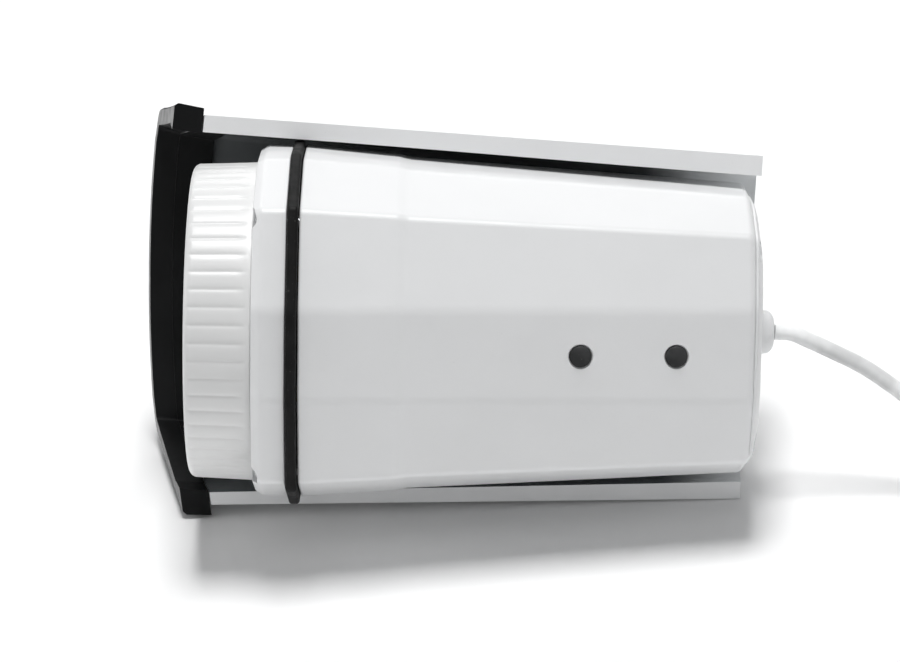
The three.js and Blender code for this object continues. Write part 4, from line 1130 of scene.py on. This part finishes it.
# ---- what shows through the window
def add_lamp_board():
    board = new_object("lamp_board_disc", rod(LAMP_BOARD_X, LAMP_BOARD_X + 1.6, 36.8, 128))
    small = rod(-13, -5, 1.3, 24)
    holes = [shifted(small, 0, 33 * cos(a), 33 * sin(a)) for a in (radians(90 * i) for i in range(4))]
    combine(board, "DIFFERENCE", [rod(-13, -5, 14.3, 72), *holes])
    soften(board, 0.12, 60, 2)
    settle(board, "circuit_board", "lamp_board")


def box_part(x0, x1, y, z, half_y, half_z, turn):
    return moved(block(x0, x1, -half_y, half_y, -half_z, half_z), stood(y, z, turn))


def add_board_parts():
    """Small resistors and capacitors round the lamp board."""
    front = LAMP_BOARD_X - 0.02
    bodies, ends = [], []
    for i in range(20):
        angle = radians(9 + 18 * i)
        radius = 18.2 if i % 2 else 31.6
        y, z = radius * cos(angle), radius * sin(angle)
        if any((Vector((y, z)) - Vector(spot)).length < 8.6 for spot in lamp_spots()):
            continue
        bodies.append(box_part(front - 0.75, front, y, z, 0.62, 1.0, angle))
        for side in (-1, 1):
            shift = Vector((-sin(angle), cos(angle))) * 1.15 * side
            ends.append(box_part(front - 0.8, front, y + shift.x, z + shift.y, 0.66, 0.25, angle))
    kinds = (("board_resistors", bodies, "chip"), ("board_solder_caps", ends, "screw_steel"))
    for name, shapes, finish in kinds:
        made = new_object(name, joined(shapes))
        soften(made, 0.08, 60, 2)
        settle(made, finish)


def lamp_spots():
    angles = [(i + 0.5) / 4 * 2 * pi for i in range(4)]
    return [(LAMP_RADIUS * cos(a), LAMP_RADIUS * sin(a)) for a in angles]


def add_lamps():
    """Infrared lamps: a black carrier, a chip on a bright pad and a clear dome over them."""
    face = LAMP_BOARD_X - 2.3
    for i, (y, z) in enumerate(lamp_spots(), 1):
        turn = atan2(z, y)
        stand = stood(y, z, turn)
        carrier = new_object(f"lamp_carrier_{i}", box_part(face, LAMP_BOARD_X - 0.3, y, z, 5, 5, turn))
        cup = turned([(face - 1, 4.6), (face, 4.5), (face + 1.1, 3.4)], 48)
        combine(carrier, "DIFFERENCE", [moved(cup, stand)])
        soften(carrier, 0.3, 60)
        settle(carrier, "chip")
        pad = moved(rod(face + 1.12, face + 1.3, 3.2, 40), stand)
        die = box_part(face + 0.8, face + 1.1, y, z, 0.7, 0.7, turn)
        piece(f"lamp_pad_{i}", joined([pad, die]), "brass")
        dome = [(face + 0.7 - 3.9 * c, 4.2 * s) for c, s in quarter(12)]
        piece(f"lamp_dome_{i}", moved(turned(dome, 48), stand), "lamp_lens", f"infrared_lamp_{i}")
    profile = [(-13.4, 0), (-13.4, 1.4), (-13.2, 2.0), (-12.7, 2.5), (-12.2, 2.6), (LAMP_BOARD_X - 0.3, 2.6)]
    piece("light_sensor_lens", shifted(turned(profile, 40), 0, 26, 0), "lamp_lens", "light_sensor")


def add_lens():
    shroud = turned([(-25.2, 12), (-25.2, 13.4), (-25, 13.6), (-9, 14), (-9, 12)], 96, True)
    piece("lens_shroud_sleeve", shroud, "chip", "lens_shroud", slot="black_rubber")
    profile = [(-15.4, 0), (-15.4, 4.8), (-15.9, 4.9)]
    for k in range(4):
        x, size = -16.1 - k * 0.45, 5.0 + k * 0.28
        profile += [(x, size), (x - 0.25, size), (x - 0.28, size + 0.24)]
    profile += [(-18, 6.3), (-18.1, 6.6), (-17.9, 7.4), (-17.4, 8.0), (-17.0, 8.2)]
    for k in range(9):
        x = -16.4 + k * 0.75
        profile += [(x, 8.2), (x + 0.15, 7.95), (x + 0.45, 7.95), (x + 0.6, 8.2)]
    profile += [(-9.4, 8.2), (-8.6, 7.4), (-8.6, 5.9), (9.4, 5.9), (10.2, 5.2), (10.2, 0)]
    piece("lens_tube", turned(profile, 96), "lens_metal", "lens_barrel", "lens")
    bulge = [(-15.7 - 1.6 * c, 4.5 * s) for c, s in quarter(10)]
    element = turned([*bulge, (-15.55, 4.3), (-15.55, 0)], 72)
    piece("lens_front_glass", element, "lens_glass", "lens_front_element", "lens")


# ---- CAD nodes that keep their own shape
KEPT_NODES = {  # finish: {node: width of its softened edges}
    "black_plastic": {"lens_holder": 0.3, "filter_carriage": 0.12},
    "filter_glass": {"infrared_cut_filter": 0.04},
    "clear_glass": {"clear_filter": 0.04},
    "screw_steel": {
        "switch_rotor": 0.1,
        "chassis_plate": 0.2,
        **{f"chassis_screw_{i}": 0.12 for i in (1, 2)},
    },
    "coil_winding": {"switch_coil": 0.1},
    "chip": {"image_sensor": 0.15, "processor": 0.2},
    "circuit_board": {"sensor_board": 0.15, "main_board": 0.15},
    "cable_sheath": {"board_connector": 0.2, "inner_lead": 0},
    "black_rubber": {"rear_gasket": 0.15, "gland_seal": 0.4},
    "brass": {
        "gland_nut": 0.3,
        **{f"sensor_board_post_{i}": 0.2 for i in (1, 2, 3, 4)},
        **{f"main_board_post_{i}": 0.2 for i in (1, 2)},
    },
}


def finish_kept_node(name, finish, edge):
    node = frame["nodes"][name]
    node.data.materials.clear()
    node.data.materials.append(FINISHES[finish])
    if edge:
        bevel(node, edge * MM, 50, 2)


add_studio()
add_housing()
add_hole_plugs()
add_collar()
add_gasket()
add_front_ring()
add_window()
add_screws()
add_rear_cover()
add_gland()
add_shield_panel()
add_shield_bezel()
add_lamp_board()
add_board_parts()
add_lamps()
add_lens()
for finish, edges in KEPT_NODES.items():
    for name, edge in edges.items():
        finish_kept_node(name, finish, edge)

bpy.context.view_layer.update()
